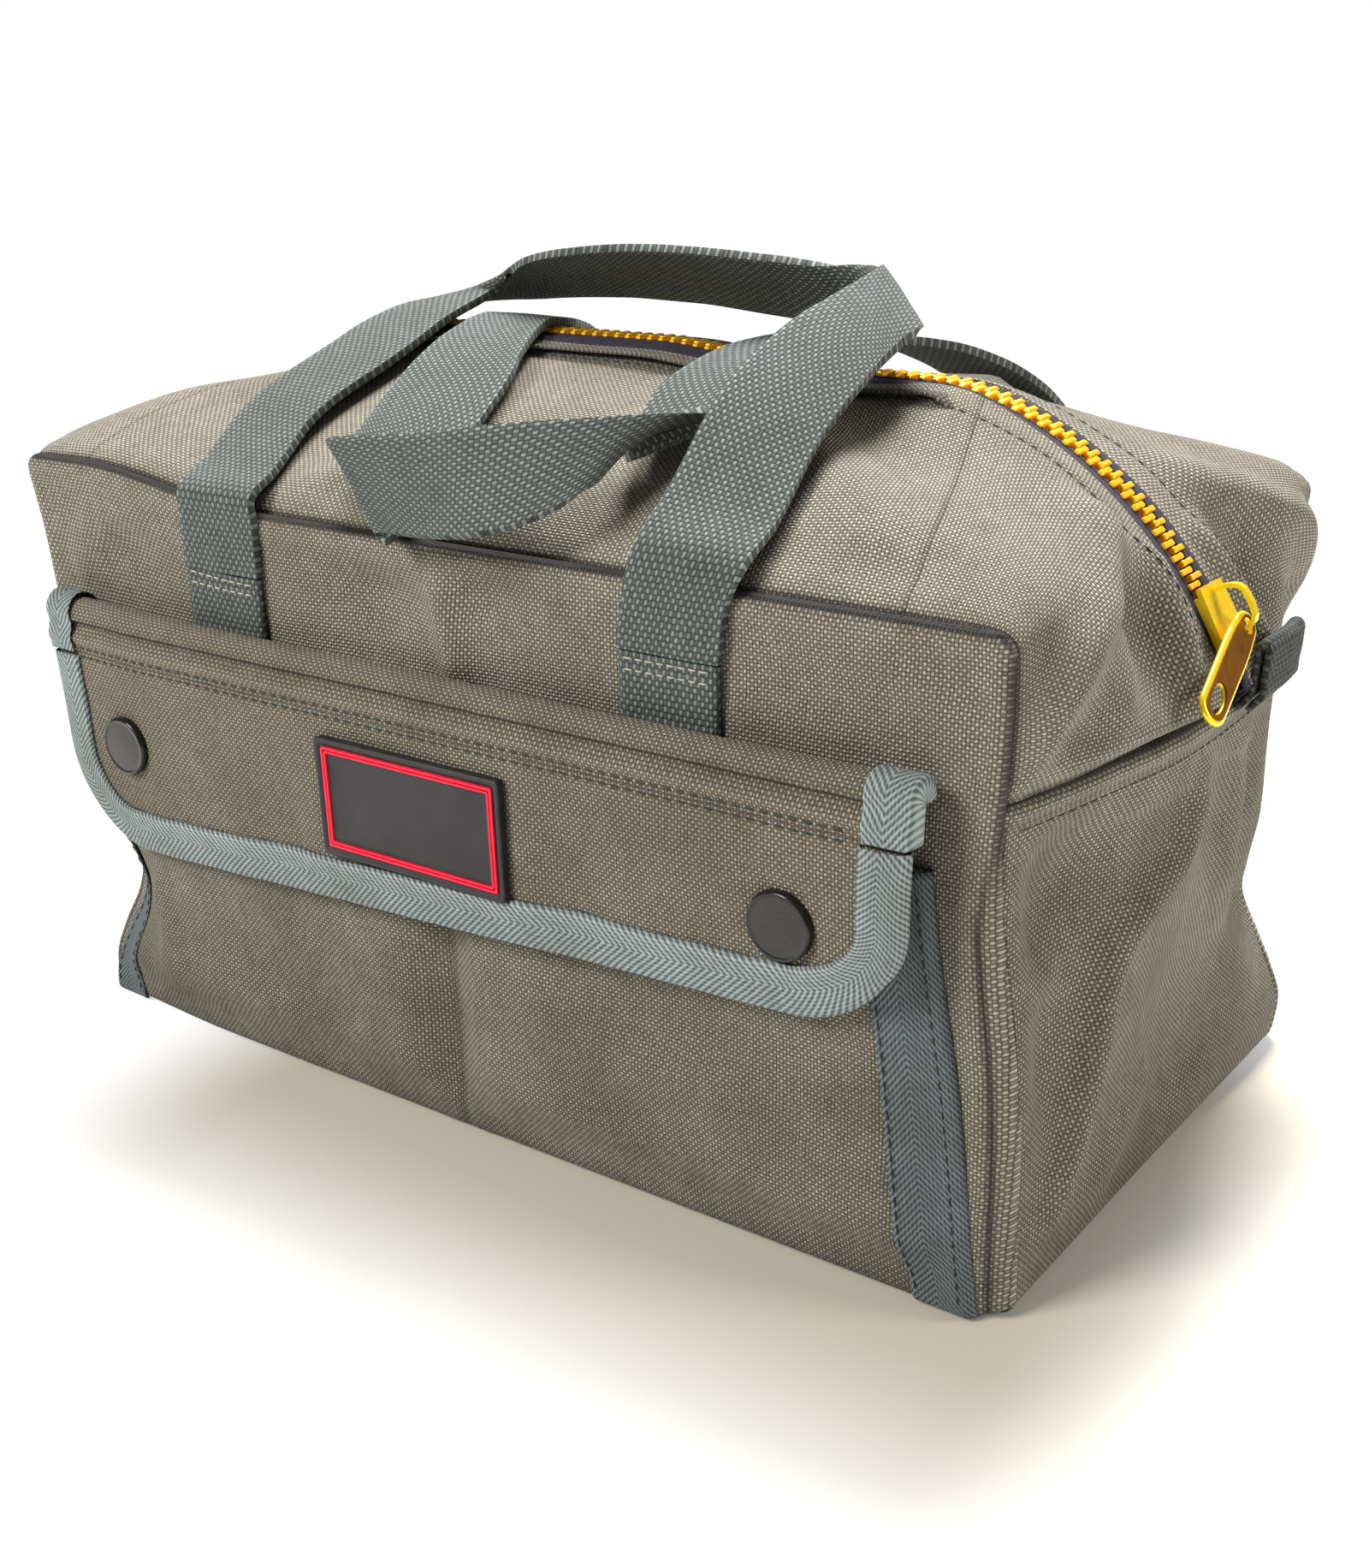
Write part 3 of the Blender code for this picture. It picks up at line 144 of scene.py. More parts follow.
# Routes of the two webbing loops: outer edge, then inner edge, as shares of half the handle spacing,
# half the depth, and the roof's rise counted up from the crown
FRONT_ROUTE_SHARES = (
    ((-1.191, -1.016, -1.453), (-0.809, -1.016, -1.453)),
    ((-1.191, -1.016, -1.060), (-0.809, -1.016, -1.060)),
    ((-1.198, -1.005, -0.863), (-0.817, -1.005, -0.863)),
    ((-1.229, -0.872, -0.721), (-0.847, -0.880, -0.721)),
    ((-1.267, -0.637, -0.377), (-0.885, -0.660, -0.393)),
    ((-1.214, -0.375, -0.082), (-0.832, -0.375, -0.087)),
    ((-1.214, -0.125, 0.115), (-0.837, -0.112, 0.153)),
    ((-1.191, 0.050, 0.186), (-0.840, 0.112, 0.306)),
    ((-1.008, 0.200, 0.213), (-0.718, 0.075, 0.475)),
    ((-0.733, 0.262, 0.246), (-0.550, 0.025, 0.595)),
    ((-0.397, 0.275, 0.284), (-0.275, 0.000, 0.677)),
    ((-0.031, 0.269, 0.284), (0.031, 0.000, 0.715)),
    ((0.366, 0.256, 0.229), (0.366, 0.012, 0.694)),
    ((0.733, 0.200, 0.191), (0.672, 0.062, 0.639)),
    ((1.069, 0.050, 0.229), (0.824, 0.150, 0.601)),
    ((1.237, -0.125, 0.295), (0.901, 0.137, 0.606)),
    ((1.229, -0.225, 0.213), (0.893, 0.025, 0.524)),
    ((1.214, -0.350, 0.060), (0.855, -0.300, 0.306)),
    ((1.214, -0.587, -0.262), (0.855, -0.600, -0.016)),
    ((1.252, -0.825, -0.644), (0.870, -0.850, -0.524)),
    ((1.267, -0.987, -0.830), (0.870, -0.994, -0.797)),
    ((1.221, -1.016, -1.092), (0.840, -1.016, -1.092)),
    ((1.191, -1.016, -1.453), (0.809, -1.016, -1.453)),
)
BACK_ROUTE_SHARES = (
    ((-1.191, 1.016, -1.453), (-0.809, 1.016, -1.453)),
    ((-1.191, 1.016, -1.060), (-0.809, 1.016, -1.060)),
    ((-1.176, 0.994, -0.847), (-0.794, 0.994, -0.847)),
    ((-1.115, 0.775, -0.524), (-0.748, 0.725, -0.464)),
    ((-0.977, 0.450, -0.126), (-0.611, 0.375, -0.044)),
    ((-0.855, 0.150, 0.087), (-0.473, 0.100, 0.109)),
    ((-0.779, -0.050, 0.131), (-0.397, -0.075, 0.137)),
    ((-0.695, -0.325, 0.000), (-0.305, -0.275, 0.005)),
    ((-0.611, -0.575, -0.213), (-0.198, -0.475, -0.202)),
    ((-0.466, -0.887, -0.464), (-0.053, -1.052, -0.912)),
    ((-0.508, -0.920, -0.442), (-0.092, -1.100, -0.907)),
    ((-0.435, -0.955, -0.399), (-0.015, -1.126, -0.879)),
    ((-0.061, -0.962, -0.306), (0.183, -1.144, -0.852)),
    ((0.244, -0.962, -0.208), (0.366, -1.144, -0.797)),
    ((0.473, -0.900, -0.153), (0.519, -1.075, -0.710)),
    ((0.641, -0.775, -0.142), (0.618, -0.950, -0.552)),
    ((0.802, -0.600, -0.131), (0.611, -0.750, -0.317)),
    ((0.832, -0.519, -0.169), (0.634, -0.750, -0.382)),
    ((0.821, -0.512, -0.224), (0.565, -0.700, -0.421)),
    ((0.821, -0.350, -0.076), (0.450, -0.425, -0.120)),
    ((0.840, -0.125, 0.098), (0.473, -0.162, 0.066)),
    ((0.931, 0.075, 0.120), (0.565, 0.037, 0.126)),
    ((1.023, 0.300, 0.066), (0.656, 0.250, 0.076)),
    ((1.115, 0.575, -0.137), (0.748, 0.525, -0.093)),
    ((1.176, 0.825, -0.459), (0.794, 0.800, -0.415)),
    ((1.198, 0.994, -0.847), (0.817, 0.994, -0.830)),
    ((1.191, 1.016, -1.060), (0.809, 1.016, -1.060)),
    ((1.191, 1.016, -1.453), (0.809, 1.016, -1.453)),
)


# Small helpers

def smooth_step(share):
    share = min(max(share, 0.0), 1.0)
    return share * share * (3 - 2 * share)


def ramp(value, start, run):
    """0 up to the start, then a smooth rise to 1 over the run."""
    return smooth_step((value - start) / run)


def bell(distance, width):
    return math.exp(-(distance / width) ** 2)


def welts(distance, *ridges):
    """Height of ridges, or of grooves where it is negative. Each one is (height, place, half width)."""
    return sum(height * bell(distance - place, width) for height, place, width in ridges)


def run_lengths(points):
    """Distance of each point from the first one, measured along the points."""
    runs = [0.0]
    for a, b in zip(points, points[1:]):
        runs.append(runs[-1] + (b - a).length)
    return runs


def rim(distance, radius):
    """Depth below a panel's face at a distance from its edge, for a quarter-round edge."""
    if distance >= radius:
        return 0.0
    short = radius - max(distance, 0.0)
    return radius - math.sqrt(max(radius * radius - short * short, 0.0))


def rim_pair(a, radius_a, b, radius_b):
    """Depth below a face near the corner where two quarter-round edges meet."""
    short_a = max(1 - max(a, 0.0) / radius_a, 0.0)
    short_b = max(1 - max(b, 0.0) / radius_b, 0.0)
    both = short_a ** 2 + short_b ** 2
    if both <= 0:
        return 0.0
    radius = mix(radius_b, radius_a, short_a ** 2 / both)
    return radius * (1 - math.sqrt(max(1 - both, 0.0)))


def mix(a, b, share):
    return a + (b - a) * share


def spread(half, edges=(0.0, 0.25, 0.6, 1.1, 1.7, 2.5, 3.6, 5.0, 7.0), step=2.4):
    """Places from -half to half, crowded towards both ends. Edges and step are in millimetres."""
    near = [half - edge * MM for edge in edges]
    inner = near[-1]
    count = max(1, int(round(inner / (step * MM))))
    right = [inner * number / count for number in range(count)] + list(reversed(near))
    return [-x for x in reversed(right[1:])] + right


def ladder(low, high, step, low_edges, high_edges):
    """Places from low to high, with finer ones beside either end. Edges and step are in millimetres."""
    start = [low + edge * MM for edge in low_edges]
    stop = [high - edge * MM for edge in reversed(high_edges)]
    a = start[-1] if start else low
    b = stop[0] if stop else high
    count = max(1, int(round((b - a) / (step * MM))))
    middle = [a + (b - a) * number / count for number in range(count + 1)]
    return start[:-1] + middle + stop[1:]


def path_distance(x, y, path):
    """Distance from a place to a line through points, and how far along it that is."""
    best = 1e9
    share = 0.0
    last = len(path) - 1
    for number in range(last):
        ax, ay = path[number]
        bx, by = path[number + 1]
        dx, dy = bx - ax, by - ay
        t = ((x - ax) * dx + (y - ay) * dy) / max(dx * dx + dy * dy, 1e-12)
        t = min(max(t, 0.0), 1.0)
        distance = math.hypot(x - ax - dx * t, y - ay - dy * t)
        if distance < best:
            best = distance
            share = (number + t) / last
    return best, share


SMOOTHED = {}
FOLD_CURVE_STEPS = 6


def fold(x, y, path, width, fade=0.25):
    """Height of a soft fold along a line, 1 on its crest, fading out at its ends."""
    if path not in SMOOTHED:
        curve = smooth_route([Vector((*place, 0)) for place in path], FOLD_CURVE_STEPS)
        SMOOTHED[path] = [(point.x, point.y) for point in curve]
    distance, share = path_distance(x, y, SMOOTHED[path])
    return bell(distance, width) * ramp(share, 0, fade) * ramp(1 - share, 0, fade)


def dent(x, y, place, size):
    """Depth of a soft hollow or swell, 1 at its middle."""
    return bell(x - place[0], size[0]) * bell(y - place[1], size[1])


def ripple(point, scale, seed):
    """Smooth noise from -1 to 1 with features of a given size in metres."""
    return noise.noise(Vector(point) / scale + Vector((seed * 7.3, seed * 3.1, seed * 5.7)))


def smooth_route(points, steps):
    curve = []
    last = len(points) - 1
    for number in range(last):
        before = points[max(number - 1, 0)]
        start = points[number]
        stop = points[number + 1]
        after = points[min(number + 2, last)]
        for step in range(steps):
            t = step / steps
            rise = (stop - before) * t
            bend = (2 * before - 5 * start + 4 * stop - after) * t * t
            twist = (3 * start - before - 3 * stop + after) * t ** 3
            curve.append(start + (rise + bend + twist) / 2)
    curve.append(points[-1])
    return curve


# Soft shapes of the cloth. Each face has its waves (height, size in metres, seed), its dents (height, place,
# reach) and its folds (height, path, half width and, where it isn't a quarter, the share over which the ends
# fade). Heights, places and reaches are in millimetres, on the face's own two axes.

END_SHAPES = (
    ((1.2, 0.055, 9), (0.4, 0.022, 12)),
    ((-7.0, (-53, 84), (17, 20)), (-4.2, (-62, 52), (10, 13)), (2.0, (-60, 68), (9, 5)),
     (-3.4, (4, 40), (17, 26)), (-2.0, (16, 84), (12, 18)), (-3.6, (56, 76), (13, 22)),
     (-2.6, (14, 16), (18, 10))),
    ((4.6, ((-3, 102), (-6, 90), (-14, 79), (-29, 71), (-39, 60), (-46, 42), (-56, 26), (-68, 6)), 5.6, 0.14),
     (3.4, ((10, 106), (26, 88), (33, 62), (50, 38), (68, 24)), 8.0),
     (2.4, ((-44, 6), (-22, 20), (-2, 26)), 7)),
)
SHAPES = {
    "front_wall": (
        ((1.3, 0.060, 0), (0.30, 0.022, 3)),
        ((-5.0, (-19, 130), (14, 9)), (-4.0, (17, 138), (9, 7)), (1.0, (36, 131), (10, 10)),
         (-2.0, (-102, 126), (14, 6)), (-1.5, (98, 127), (17, 8))),
        ((3.2, ((-2, 150), (2, 138), (6, 122), (8, 112)), 4.6),
         (1.9, ((-130, 120), (-112, 133), (-88, 141), (-70, 146)), 5.0),
         (1.2, ((84, 146), (104, 139), (124, 130), (137, 118)), 5.0)),
    ),
    "back_wall": (
        ((1.3, 0.060, 2), (0.30, 0.022, 5)),
        ((-4.0, (30, 84), (30, 20)), (-3.6, (-84, 92), (26, 18)), (-3.0, (4, 124), (30, 10))),
        ((4.2, ((-132, 16), (-92, 46), (-40, 58), (14, 54)), 9),
         (3.8, ((14, 22), (70, 42), (128, 92)), 8),
         (2.6, ((-124, 128), (-100, 138), (-66, 142)), 6)),
    ),
    "end_wall_right": END_SHAPES,
    "end_wall_left": END_SHAPES,
    "roof_front": (
        ((1.5, 0.05, 19), (0.40, 0.020, 22)),
        ((-4.2, (10, -56), (26, 13)), (-3.2, (-94, -50), (22, 16)), (-2.4, (96, -34), (16, 12))),
        ((3.2, ((-60, -80), (-30, -66), (4, -70), (36, -78)), 6),
         (2.8, ((52, -26), (84, -46), (114, -72)), 8)),
    ),
    "roof_back": (((1.5, 0.05, 21), (0.40, 0.020, 24)), (), ()),
    "shoulder": (
        (),
        ((-5.4, (-30, 134), (10, 13)), (-3.6, (-60, 120), (10, 7))),
        ((4.6, ((-16, 157), (-28, 152), (-44, 144), (-58, 138), (-67, 130), (-73, 122), (-77, 113)),
          5.6, 0.16),
         (3.6, ((-10, 150), (-15, 138), (-19, 124), (-20, 114)), 4.6, 0.2),
         (1.5, ((-32, 138), (-42, 129), (-50, 118)), 5.0)),
    ),
    "pocket": (
        ((2.0, 0.048, 41), (0.5, 0.018, 43)),
        ((-2.6, (-60, 30), (20, 14)), (-2.2, (62, 18), (22, 10))),
        ((2.6, ((-112, 46), (-102, 30), (-96, 10)), 7),
         (1.8, ((-96, 14), (-70, 26), (-40, 44)), 8),
         (1.8, ((18, 48), (52, 38), (96, 40)), 8)),
    ),
    "flap": (
        ((0.9, 0.06, 61), (0.25, 0.02, 63)),
        ((-1.3, (45, 86), (10, 16)), (0.6, (74, 92), (14, 10)), (-0.7, (-44, 74), (12, 14))),
        ((0.5, ((-96, 62), (-70, 70), (-48, 66)), 6),),
    ),
}


def waves(face, place):
    """Height of a face's smooth waves at a place of the bag, in metres."""
    return MM * sum(height * ripple(place, size, seed) for height, size, seed in SHAPES[face][0])


def shapes(face, across, up):
    """Height of a face's dents and folds at a place on the face, all in metres."""
    x, y = across / MM, up / MM
    _, dents, folds = SHAPES[face]
    height = sum(rise * dent(x, y, place, size) for rise, place, size in dents)
    return MM * (height + sum(rise * fold(x, y, *line) for rise, *line in folds))


# Materials

WANDER_SCALE = 160
WANDER = 0.55
SLUB_LONG, SLUB_SHORT = 0.12, 0.9
FUZZ_SCALE = 2600
CLOUD_SCALE = 34
# Share of the painted highlight that a positive tone lays on the raised threads
PAINTED_HIGHLIGHT_SHARE = 0.6
HAIR_RELIEF = 0.22
CLOTH_ROUGHNESS = 0.92


def feed(tree, socket, value):
    """Give a socket a plain value or another node's output."""
    if isinstance(value, bpy.types.NodeSocket):
        tree.links.new(value, socket)
    elif socket.type == "RGBA" and len(value) == 3:
        socket.default_value = (*value, 1)
    else:
        socket.default_value = value


def add_node(tree, kind, inputs=(), output=0, **settings):
    """A new node with its settings and inputs; gives back one of its outputs."""
    node = tree.nodes.new("ShaderNode" + kind)
    for name, value in settings.items():
        setattr(node, name, value)
    for key, value in dict(inputs).items():
        feed(tree, node.inputs[key], value)
    return node.outputs[output]


def node_tree(name):
    made = bpy.data.materials.new(name)
    made.use_nodes = True
    return made, made.node_tree, made.node_tree.nodes["Principled BSDF"]


def math_node(tree, operation, a, b=0.0, clamp=False):
    return add_node(tree, "Math", {0: a, 1: b}, operation=operation, use_clamp=clamp)


def sine(tree, value, pitch):
    return math_node(tree, "SINE", math_node(tree, "MULTIPLY", value, math.tau / pitch))


def noise_node(tree, vector, scale, detail=2.0, roughness=0.5, output="Fac"):
    inputs = {"Scale": scale, "Detail": detail, "Roughness": roughness, "Vector": vector}
    return add_node(tree, "TexNoise", inputs, output)


def colour_mix(tree, share, a, b, blend="MIX"):
    return add_node(tree, "Mix", {"Factor": share, 6: a, 7: b}, 2, data_type="RGBA", blend_type=blend)


def stretch(tree, vector, scale):
    return add_node(tree, "Mapping", {"Scale": scale, "Vector": vector})


def map_range(tree, value, low, high, to_low=0.0, to_high=1.0, way="LINEAR"):
    inputs = {"Value": value, "From Min": low, "From Max": high, "To Min": to_low, "To Max": to_high}
    return add_node(tree, "MapRange", inputs, "Result", interpolation_type=way)


def add_bump(tree, shader, height, strength, distance):
    normal = add_node(tree, "Bump", {"Strength": strength, "Distance": distance, "Height": height}, "Normal")
    tree.links.new(normal, shader.inputs["Normal"])


def tone_value(tree):
    """The tone painted on a piece as painted light: -1 is painted shade in seams, grooves and hollows, 1 a
    painted highlight on ridges and edges.
    """
    return add_node(tree, "Attribute", output="Fac", attribute_name="tone")


def thread_places(tree, uv, spacing):
    """X and Y on the cloth's UV map, with the threads wandering a little."""
    stray = noise_node(tree, uv, WANDER_SCALE, 1.5, output="Color")
    centred = add_node(tree, "VectorMath", {0: stray, 1: (0.5, 0.5, 0.5)}, operation="SUBTRACT")
    scaled = add_node(tree, "VectorMath", {0: centred, "Scale": WANDER * spacing}, operation="SCALE")
    moved = add_node(tree, "VectorMath", {0: uv, 1: scaled}, operation="ADD")
    parts = add_node(tree, "SeparateXYZ", {0: moved}).node.outputs
    return parts["X"], parts["Y"]


def herringbone(tree, x, y, rib, slant, half):
    """Level of a twill whose ribs slope away from the tape's middle line."""
    lean = math_node(tree, "MULTIPLY", math_node(tree, "ABSOLUTE", y), slant)
    ribs = map_range(tree, sine(tree, math_node(tree, "ADD", x, lean), rib), -1, 1)
    threads = math_node(tree, "MULTIPLY", sine(tree, y, half), 0.22)
    body = math_node(tree, "MAXIMUM", math_node(tree, "ADD", ribs, threads), 0.0)
    return math_node(tree, "POWER", body, 0.9, clamp=True)


def plain_weave(tree, x, y, along, across, weft):
    """Level of a plain weave: round warp nubs, and lower weft nubs between them."""
    product = math_node(tree, "MULTIPLY", sine(tree, x, 2 * along), sine(tree, y, 2 * across))
    warp = math_node(tree, "POWER", math_node(tree, "MAXIMUM", product, 0.0), 0.42)
    sunk = math_node(tree, "MAXIMUM", math_node(tree, "MULTIPLY", product, -1.0), 0.0)
    low = math_node(tree, "MULTIPLY", math_node(tree, "POWER", sunk, 0.6), weft)
    return math_node(tree, "MAXIMUM", warp, low)


def cloth_material(name, nub, groove, painted_highlight_colour, along, across, height, weft=0.40, ribs=None, patchy=0.08,
                   sheen=0.05):
    """Woven cloth on the UV map, which is in metres. Thread spacings and height are in millimetres."""
    made, tree, shader = node_tree(name)
    along, across = along * MM, across * MM
    uv = add_node(tree, "UVMap", uv_map="cloth")
    place = add_node(tree, "TexCoord", output="Object")
    x, y = thread_places(tree, uv, across)
    level = herringbone(tree, x, y, *ribs) if ribs else plain_weave(tree, x, y, along, across, weft)
    slub = noise_node(tree, stretch(tree, uv, (SLUB_LONG / along, SLUB_SHORT / across, 1)), 1.0, 1.0)
    slub_across = noise_node(tree, stretch(tree, uv, (SLUB_SHORT / along, SLUB_LONG / across, 1)), 1.0, 1.0)
    thread = map_range(tree, math_node(tree, "ADD", slub, slub_across), 0.6, 1.4, 0.72, 1.22)
    fuzz = noise_node(tree, place, FUZZ_SCALE)
    shade = math_node(tree, "ADD", math_node(tree, "MULTIPLY", level, thread),
                      map_range(tree, fuzz, 0.3, 0.7, -0.10, 0.10), clamp=True)
    cloud = map_range(tree, noise_node(tree, place, CLOUD_SCALE, 3.0, 0.6), 0.35, 0.65)
    darker = tuple(channel * (1 - 1.6 * patchy) for channel in (1.0, 0.98, 0.93))
    tint = colour_mix(tree, cloud, darker, (1 + patchy,) * 3)
    colour = colour_mix(tree, 1.0, colour_mix(tree, shade, groove, nub), tint, "MULTIPLY")
    tone = tone_value(tree)
    # Painted shade: a negative tone darkens the colour towards a deep groove colour
    colour = colour_mix(tree, map_range(tree, tone, -1.0, 0.0, 1.0, 0.0), colour,
                        tuple(channel * 0.35 for channel in groove))
    # Painted highlight: a positive tone turns the raised threads towards a paler colour
    highlit_nubs = math_node(tree, "MULTIPLY", map_range(tree, tone, 0.0, 1.0), level)
    colour = colour_mix(tree, math_node(tree, "MULTIPLY", highlit_nubs, PAINTED_HIGHLIGHT_SHARE), colour, painted_highlight_colour)
    tree.links.new(colour, shader.inputs["Base Color"])
    for socket, value in (("Roughness", CLOTH_ROUGHNESS), ("Specular IOR Level", 0.25),
                          ("Sheen Weight", sheen), ("Sheen Roughness", 0.45)):
        shader.inputs[socket].default_value = value
    hairs = math_node(tree, "MULTIPLY", fuzz, HAIR_RELIEF)
    add_bump(tree, shader, math_node(tree, "ADD", level, hairs), 1.0, height * MM)
    return made


def metal_material(name, colour, dark, roughness, grime=0.35, metallic=1.0):
    """Lacquered metal with faint stains and scratches; a negative tone, painted shade, darkens its recesses.
    """
    made, tree, shader = node_tree(name)
    place = add_node(tree, "TexCoord", output="Object")
    cloud = noise_node(tree, place, 420, 4.0, 0.65)
    fine = noise_node(tree, stretch(tree, place, (1, 1, 6)), 1800)
    base = colour_mix(tree, map_range(tree, cloud, 0.42, 0.75, 0.0, grime), colour, dark)
    base = colour_mix(tree, map_range(tree, tone_value(tree), -1.0, 0.0, 1.0, 0.0), base, dark)
    tree.links.new(base, shader.inputs["Base Color"])
    shader.inputs["Metallic"].default_value = metallic
    gloss = map_range(tree, cloud, 0.3, 0.7, roughness - 0.06, roughness + 0.10)
    scratches = map_range(tree, fine, 0.3, 0.7, -0.06, 0.06)
    tree.links.new(math_node(tree, "ADD", gloss, scratches, clamp=True), shader.inputs["Roughness"])
    add_bump(tree, shader, fine, 0.2, 0.01 * MM)
    return made


def solid_material(name, colour, roughness, grain=900, bump_height=0.04, coat=0.0, metallic=0.0):
    """Moulded or painted stuff with a fine grain and uneven gloss. The grain's height is in millimetres."""
    made, tree, shader = node_tree(name)
    place = add_node(tree, "TexCoord", output="Object")
    fine = noise_node(tree, place, grain, 3.0, 0.6)
    paler = tuple(min(1.0, channel * 1.25 + 0.004) for channel in colour)
    cloud = map_range(tree, noise_node(tree, place, 90, 3.0), 0.3, 0.7)
    tree.links.new(colour_mix(tree, cloud, colour, paler), shader.inputs["Base Color"])
    gloss = map_range(tree, fine, 0.3, 0.7, roughness - 0.07, roughness + 0.07)
    tree.links.new(gloss, shader.inputs["Roughness"])
    for socket, value in (("Metallic", metallic), ("Specular IOR Level", 0.5 if metallic else 0.3),
                          ("Coat Weight", coat), ("Coat Roughness", 0.12)):
        shader.inputs[socket].default_value = value
    add_bump(tree, shader, fine, 0.6, bump_height * MM)
    return made


# Each cloth gives its nub and groove colours, the colour of its painted highlight, its thread spacings along
# and across, and its relief height in millimetres
STUFF = {
    "canvas": cloth_material("canvas_cloth", (0.448, 0.410, 0.328), (0.034, 0.029, 0.022),
                             (0.485, 0.445, 0.360), 0.80, 0.80, 0.60, sheen=0.04),
    "pocket": cloth_material("canvas_pocket", (0.375, 0.350, 0.272), (0.029, 0.026, 0.019),
                             (0.42, 0.395, 0.315), 0.80, 0.80, 0.55, patchy=0.12, sheen=0.04),
    "flap": cloth_material("canvas_flap", (0.345, 0.308, 0.234), (0.031, 0.026, 0.019), (0.47, 0.43, 0.35),
                           0.80, 0.80, 0.55, sheen=0.04),
    "webbing": cloth_material("webbing_cloth", (0.190, 0.212, 0.200), (0.020, 0.024, 0.023),
                              (0.33, 0.36, 0.34), 1.30, 0.95, 0.50, weft=0.30, patchy=0.05),
    "twill": cloth_material("twill_cloth", (0.275, 0.325, 0.322), (0.060, 0.076, 0.080), (0.44, 0.48, 0.47),
                            0.80, 0.80, 0.22, ribs=(0.00180, 1.15, 0.0008), sheen=0.06),
    "side_twill": cloth_material("side_twill_cloth", (0.160, 0.185, 0.196), (0.036, 0.043, 0.049),
                                 (0.26, 0.30, 0.31), 0.80, 0.80, 0.24, ribs=(0.00150, 1.15, 0.0008)),
    # The tabs' webbing: the loops' webbing made darker as painted shade
    "painted_shade_webbing": cloth_material("painted_shade_webbing_cloth", (0.085, 0.095, 0.088), (0.010, 0.012, 0.011),
                                   (0.14, 0.15, 0.14), 1.30, 0.95, 0.45, weft=0.30, patchy=0.05),
    "tape": cloth_material("tape_cloth", (0.052, 0.042, 0.070), (0.008, 0.007, 0.012), (0.09, 0.08, 0.11),
                           0.50, 0.50, 0.14, weft=0.45, patchy=0.10),
    "brass": metal_material("teeth_brass", (1.0, 0.56, 0.018), (0.70, 0.28, 0.01), 0.30, metallic=0.45),
    "slider": metal_material("slider_brass", (1.0, 0.70, 0.012), (0.85, 0.42, 0.01), 0.18, 0.10, 0.5),
    "recess": metal_material("recess_brass", (0.22, 0.085, 0.006), (0.10, 0.035, 0.004), 0.38, grime=0.5),
    "cap": solid_material("cap_black", (0.005, 0.0045, 0.004), 0.26, coat=0.15),
    "steel": solid_material("snap_steel", (0.40, 0.40, 0.41), 0.35, metallic=1.0),
    "rubber": solid_material("patch_rubber", (0.014, 0.013, 0.014), 0.50, grain=2200, bump_height=0.05),
    "red": solid_material("patch_red", (0.66, 0.003, 0.028), 0.42, grain=1500, bump_height=0.02),
    "dark_thread": solid_material("thread_dark", (0.030, 0.036, 0.031), 0.8, grain=3000, bump_height=0.06),
    "black_thread": solid_material("thread_black", (0.012, 0.013, 0.015), 0.8, grain=3000, bump_height=0.06),
    "light_thread": solid_material("thread_light", (0.34, 0.32, 0.26), 0.85, grain=3000, bump_height=0.06),
}
STIFF = ("rubber", "red", "cap", "brass", "slider", "recess")


# Building pieces

def grid_normals(rows):
    """Unit normals of a grid of points."""
    normals = []
    count = len(rows)
    for i, row in enumerate(rows):
        line = []
        width = len(row)
        for j in range(width):
            along = rows[min(i + 1, count - 1)][j] - rows[max(i - 1, 0)][j]
            across = row[min(j + 1, width - 1)] - row[max(j - 1, 0)]
            line.append(along.cross(across).normalized())
        normals.append(line)
    return normals


def pushed(rows, outward, relief):
    """The rows moved along their outward normals. Relief gives the height in metres at (i, j, point)."""
    normals = grid_normals(rows)
    lean = sum((normal for line in normals for normal in line), Vector())
    sign = 1 if lean.dot(Vector(outward)) >= 0 else -1
    moved = []
    for i, (row, line) in enumerate(zip(rows, normals)):
        moved.append([point + normal * sign * relief(i, j, point)
                      for j, (point, normal) in enumerate(zip(row, line))])
    return moved


def arc_uv(rows):
    """UV in metres from the mean lengths along the grid's two ways."""
    count, width = len(rows), len(rows[0])
    up = [0.0]
    for i in range(1, count):
        up.append(up[-1] + sum((rows[i][j] - rows[i - 1][j]).length for j in range(width)) / width)
    side = [0.0]
    for j in range(1, width):
        side.append(side[-1] + sum((row[j] - row[j - 1]).length for row in rows) / count)
    middle = side[-1] / 2
    return [[(up[i], side[j] - middle) for j in range(width)] for i in range(count)]


# Slump of the empty bag. The tables give how far a corner is pulled at each height, in millimetres, and the
# ways are millimetres too.

BACK_RIGHT_WAY = Vector((0.72, 0.55, 0))
BACK_RIGHT_PULL = ((0, 1.0), (12, 2.8), (20, 0.2), (30, -4.4), (42, -9.6), (50, -8.6), (63, -6.0), (86, -6.0),
                   (104, -6.0), (120, -5.4), (131, -3.4), (141, -0.8), (150, 0.0))
FRONT_LEFT_WAY = Vector((13.0, 8.0, 0))
FRONT_LEFT_PULL = ((0, 0.30), (10, 0.33), (20, 0.58), (30, 0.90), (39, 1.0), (47, 0.80), (56, 0.48),
                   (68, 0.33), (84, 0.27), (106, 0.25), (126, 0.16), (142, 0.0), (150, 0.0))
FRONT_RIGHT_WAY = Vector((-2.8, 1.0, 0))
BACK_LEFT_WAY = Vector((5.0, -4.0, 0))
BACK_RIGHT_LIFT = Vector((0, 0, 1.8))
LEFT_LIFT = Vector((0, 0, 6.5))
WAVE_WAY = Vector((1.2, 0.9, 0))


